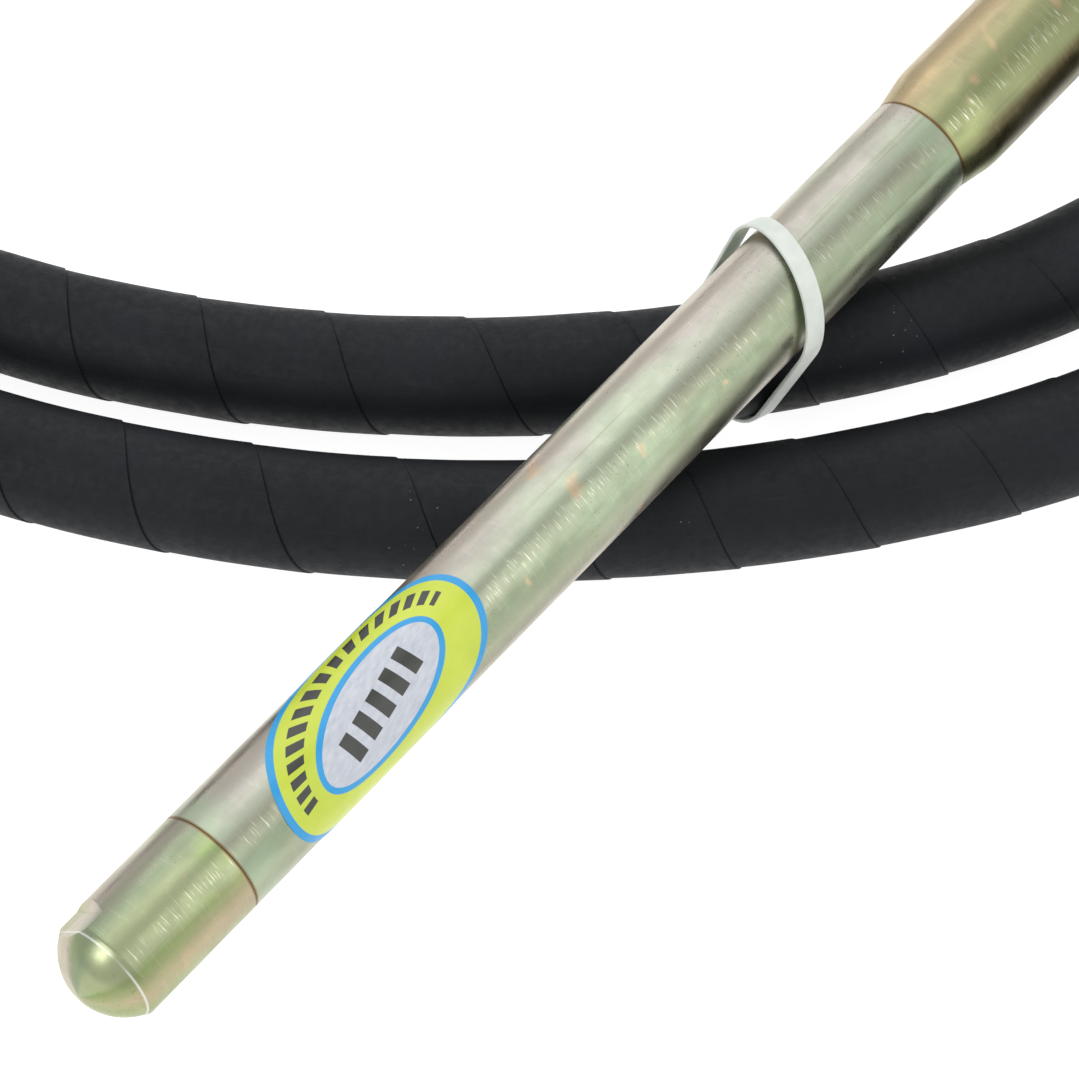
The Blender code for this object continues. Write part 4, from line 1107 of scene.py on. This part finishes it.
def strap_mesh(name, path, closed):
    """A strap with rounded edges along flat points."""
    half, thick, soft = TIE_WIDTH / 2, TIE_THICKNESS / 2, 0.32 * MM
    section = []
    for out, across, start in ((1, 1, 0), (-1, 1, 1), (-1, -1, 2), (1, -1, 3)):
        for k in range(4):
            angle = math.pi / 2 * (start + k / 3)
            middle = (out * (thick - soft), across * (half - soft))
            section.append((middle[0] + soft * math.cos(angle), middle[1] + soft * math.sin(angle)))
    count = len(path)
    shape = bmesh.new()
    rings = []
    for k, here in enumerate(path):
        if closed:
            run = path[(k + 1) % count] - path[k - 1]
        else:
            run = path[min(k + 1, count - 1)] - path[max(k - 1, 0)]
        outward = Vector((run.y, -run.x)).normalized()
        ring = []
        for out, across in section:
            spot = here + outward * out
            ring.append(shape.verts.new((spot.x, spot.y, across)))
        rings.append(ring)
    pairs = list(zip(rings, rings[1:]))
    if closed:
        pairs.append((rings[-1], rings[0]))
    for low, high in pairs:
        for k in range(len(section)):
            after = (k + 1) % len(section)
            shape.faces.new((low[k], low[after], high[after], high[k]))
    if not closed:
        shape.faces.new(rings[0])
        shape.faces.new(rings[-1][::-1])
    mesh = bpy.data.meshes.new(name)
    shape.to_mesh(mesh)
    shape.free()
    return mesh


def add_tie(hose_points):
    place = tie_frame()
    middle_slack = TIE_THICKNESS / 2
    outline = tie_outline(place, TIE_SLACK + middle_slack, TIE_HOSE_SLACK + middle_slack, hose_points)
    strap = strap_mesh("strap", evenly(outline, TIE_STATIONS), True)
    tall, wide, deep = TIE_HEAD
    lock = block((deep, tall, wide), (deep / 2, 0, 0), 0.8 * MM)
    pocket = block((deep, 3 * MM, TIE_WIDTH - 1 * MM), (deep, tall / 4, 0), 0.25 * MM, 2)
    slot = block((1.4 * MM, 2 * tall, TIE_WIDTH + 0.3 * MM), (2.6 * MM, 0, 0))
    lock = cut_mesh(lock, [pocket, slot], "DIFFERENCE")
    pawl = block((1.2 * MM, 3.2 * MM, TIE_WIDTH - 1.6 * MM), (0, 0, 0), 0.25 * MM)
    pawl.transform(Matrix.Translation((3.2 * MM, 1.4 * MM, 0)) @ Matrix.Rotation(0.25, 4, "Z"))
    shares = [k / 12 for k in range(13)]
    tail_path = [Vector((2.6 * MM + 0.3 * MM * share**2, -4.2 * MM + 9.2 * MM * share)) for share in shares]
    tail = strap_mesh("tail", tail_path, False)
    # The lock lies on the strap where the strap faces this way, low beside the hose.
    outward = Vector((math.cos(TIE_HEAD_TURN), math.sin(TIE_HEAD_TURN)))
    touch = max(outline, key=outward.dot) + outward * TIE_THICKNESS / 6
    on_strap = Matrix.Translation(touch.to_3d()) @ Matrix.Rotation(TIE_HEAD_TURN, 4, "Z")
    for mesh in (lock, pawl, tail):
        mesh.transform(on_strap)
    mesh = combined("cable_tie_nylon", [strap, lock, pawl, tail])
    shape = bmesh.new()
    shape.from_mesh(mesh)
    bmesh.ops.transform(shape, verts=shape.verts, matrix=place)
    bmesh.ops.recalc_face_normals(shape, faces=shape.faces)
    shape.to_mesh(mesh)
    shape.free()
    smooth_edges(mesh, 40)
    tie = add_piece("cable_tie_nylon", mesh, nylon_look(), "head_and_hose")
    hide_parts("cable_tie")
    return tie


# Machine end.


def end_place(hose_end):
    """The machine end's own frame: its Z runs along the nut's axis from the hose's end."""
    joint = next(j for j in frame["joints"] if j["name"] == "union_nut_spin")
    axis = Vector(joint["axis"]).normalized()
    return Matrix.Translation(hose_end) @ axis.to_track_quat("Z", "Y").to_matrix().to_4x4()


def add_ferrule(place, look):
    """The pressed sleeve that holds the hose, with the crimping tool's rings."""
    start, end = -12 * MM, 26 * MM
    outer, seat, throat = 17.2 * MM, 15 * MM, 9.1 * MM
    groove = 0.55 * MM
    outside = [(outer - 1.2 * MM, end, 0.4 * MM), (outer, end - 1.8 * MM, 0.6 * MM)]
    for ring in range(4):
        middle = end - 7 * MM - ring * 7.2 * MM
        outside += [
            (outer, middle + 2 * MM, 0.5 * MM), (outer - groove, middle + 1.2 * MM, 0.5 * MM),
            (outer - groove, middle - 1.2 * MM, 0.5 * MM), (outer, middle - 2 * MM, 0.5 * MM),
        ]
    outside += [(outer, start, 0.7 * MM), (seat, start, 0.5 * MM)]
    inside = [(seat, 0.3 * MM), (throat, 0.3 * MM), (throat, end)]
    return add_turned(
        "machine_end_ferrule_shell", outside + inside, look, "zinc_plate", "head_and_hose", place, END_SIDES,
        "machine_end_ferrule",
    )


def add_end_body(place, look):
    nose, collar, neck, spigot, bore, seat = (value * MM for value in (11, 15, 12.5, 9, 6.2, 8.4))
    soft = 0.5 * MM
    corners = [
        (nose, 80 * MM, soft), (nose, 68 * MM, 0.3 * MM), (collar, 68 * MM, soft), (collar, 60 * MM, soft),
        (neck, 60 * MM, 0.8 * MM), (neck, 34.3 * MM, 0.8 * MM), (collar, 34.3 * MM, soft),
        (collar, 26.3 * MM, soft), (spigot, 26.3 * MM), (spigot, 8 * MM, soft), (bore, 8 * MM, 0.3 * MM),
        (bore, 51.4 * MM), (seat, 51.4 * MM), (seat, 67.7 * MM), (seat + 0.8 * MM, 67.7 * MM),
        (seat + 0.8 * MM, 69.5 * MM), (seat, 69.5 * MM), (seat, 80 * MM, 0.4 * MM),
    ]
    return add_turned(
        "machine_end_body_shell", corners, look, "zinc_plate", "head_and_hose", place, END_SIDES,
        "machine_end_body",
    )


def add_spindle(place):
    """The driven end of the flexible core: a ground spindle with a square that the motor turns."""
    corners = [
        (0, 82 * MM), (3.1 * MM, 82 * MM, 0.3 * MM), (5 * MM, 80 * MM, 0.4 * MM),
        (5 * MM, 51.1 * MM, 0.2 * MM), (6 * MM, 51.1 * MM, 0.3 * MM), (6 * MM, 48.1 * MM, 0.3 * MM),
        (5 * MM, 48.1 * MM, 0.2 * MM), (5 * MM, 1 * MM, 0.6 * MM), (0, 1 * MM),
    ]
    stem = turned_mesh("drive_spindle_steel", corners, END_SIDES)
    square = block((7 * MM, 7 * MM, 30 * MM), (0, 0, 94 * MM), 0.6 * MM)
    mesh = cut_mesh(stem, [square], "UNION")
    smooth_edges(mesh, 34)
    look = steel_look("spindle_steel_look")
    spindle = add_piece("drive_spindle_steel", mesh, look, "spindle", place)
    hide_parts("drive_spindle")


def nut_outside(angle, height, plain):
    """The nut's outer radius here, where round-ended grooves are milled into its plain radius."""
    step = math.tau / NUT_SCALLOPS
    off = (angle + step / 2) % step - step / 2
    low, high = NUT_LOW + 5 * MM + NUT_SCALLOP_R, NUT_HIGH - 5 * MM - NUT_SCALLOP_R
    beyond = max(low - height, height - high, 0)
    if beyond >= NUT_SCALLOP_R:
        return plain
    centre = NUT_R + NUT_SCALLOP_OUT
    room = NUT_SCALLOP_R**2 - beyond**2 - (centre * math.sin(off)) ** 2
    return min(plain, centre * math.cos(off) - math.sqrt(room)) if room > 0 else plain


def add_union_nut(place, look):
    """The coupling nut: milled finger grooves outside, and a real helical thread inside."""
    sides = 256
    hole, flange = 12.7 * MM, NUT_LOW + 7 * MM
    outer_heights = [NUT_HIGH - 1 * MM - k * (NUT_HIGH - NUT_LOW - 2 * MM) / 64 for k in range(65)]
    rows = [[(NUT_R - 1 * MM, NUT_HIGH)] * sides]
    rows.append([(NUT_R - 0.35 * MM, NUT_HIGH - 0.3 * MM)] * sides)
    for height in outer_heights:
        rows.append([(nut_outside(math.tau * k / sides, height, NUT_R), height) for k in range(sides)])
    rows.append([(NUT_R - 0.35 * MM, NUT_LOW + 0.3 * MM)] * sides)
    rows += [[(NUT_R - 1 * MM, NUT_LOW)] * sides, [(hole + 0.3 * MM, NUT_LOW)] * sides]
    rows += [[(hole, NUT_LOW + 0.3 * MM)] * sides, [(hole, flange)] * sides]
    relief = flange + 1.5 * MM
    root = NUT_BORE_R + NUT_THREAD_DEPTH
    rows += [[(root, flange)] * sides, [(root, relief)] * sides]
    steps = 110
    for step in range(steps + 1):
        height = relief + (NUT_HIGH - relief - 0.8 * MM) * step / steps
        fade = min(1, step / 8, (steps - step) / 8)
        row = []
        for k in range(sides):
            phase = (height / NUT_THREAD_PITCH + k / sides) % 1
            crest = min(1, max(0, 1.35 - 3 * abs(phase - 0.5)))
            row.append((root - NUT_THREAD_DEPTH * crest * fade, height))
        rows.append(row)
    rows.append([(root + 0.5 * MM, NUT_HIGH)] * sides)
    shape = bmesh.new()
    rings = []
    for row in rows:
        ring = []
        for k, (radius, height) in enumerate(row):
            angle = math.tau * k / sides
            ring.append(shape.verts.new((radius * math.cos(angle), radius * math.sin(angle), height)))
        rings.append(ring)
    for low, high in zip(rings, rings[1:] + rings[:1]):
        for k in range(sides):
            after = (k + 1) % sides
            shape.faces.new((low[k], low[after], high[after], high[k]))
    bmesh.ops.recalc_face_normals(shape, faces=shape.faces)
    mesh = bpy.data.meshes.new("union_nut_shell")
    shape.to_mesh(mesh)
    shape.free()
    smooth_edges(mesh, 30)
    nut = add_piece("union_nut_shell", mesh, look, "nut", place)
    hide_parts("union_nut")


# CAD nodes that keep their shape get their finish here.


def finish_inner_nodes():
    finishes = {
        "bearing_steel": steel_look("bearing_steel_look"),
        "core_wire": wire_look(),
        "bush_bronze": bronze_look(),
        "seal_rubber": seal_look(),
    }
    kinds = {
        "core_wire": ("flexible_core",),
        "bush_bronze": ("core_guide_bush", "spindle_bush"),
        "seal_rubber": ("nose_o_ring", "coupling_o_ring", "shaft_seal"),
    }
    for name, obj in frame["nodes"].items():
        if obj.hide_render:
            continue
        kind = next((k for k, names in kinds.items() if name in names), "bearing_steel")
        obj.data.materials.clear()
        obj.data.materials.append(finishes[kind])


add_camera()
HOSE_POINTS = hose_line(1.8 * HOSE_DIAMETER)
HOSE, HOSE_TRACK = add_hose(HOSE_POINTS)
TIE = add_tie(HOSE_POINTS)
END = end_place(HOSE_POINTS[-1])
END_LOOK = zinc_look("machine_end_zinc_look", SLEEVE_FILM_AND_REFLECTION_BANDS, rgb(178, 186, 134), 0.45, rgb(212, 176, 140))
FERRULE = add_ferrule(END, END_LOOK)
END_BODY = add_end_body(END, END_LOOK)
add_spindle(END)
add_union_nut(END, END_LOOK)
add_nose()
add_tube()
add_coupling()
add_label()
finish_inner_nodes()
add_floor()
add_studio()
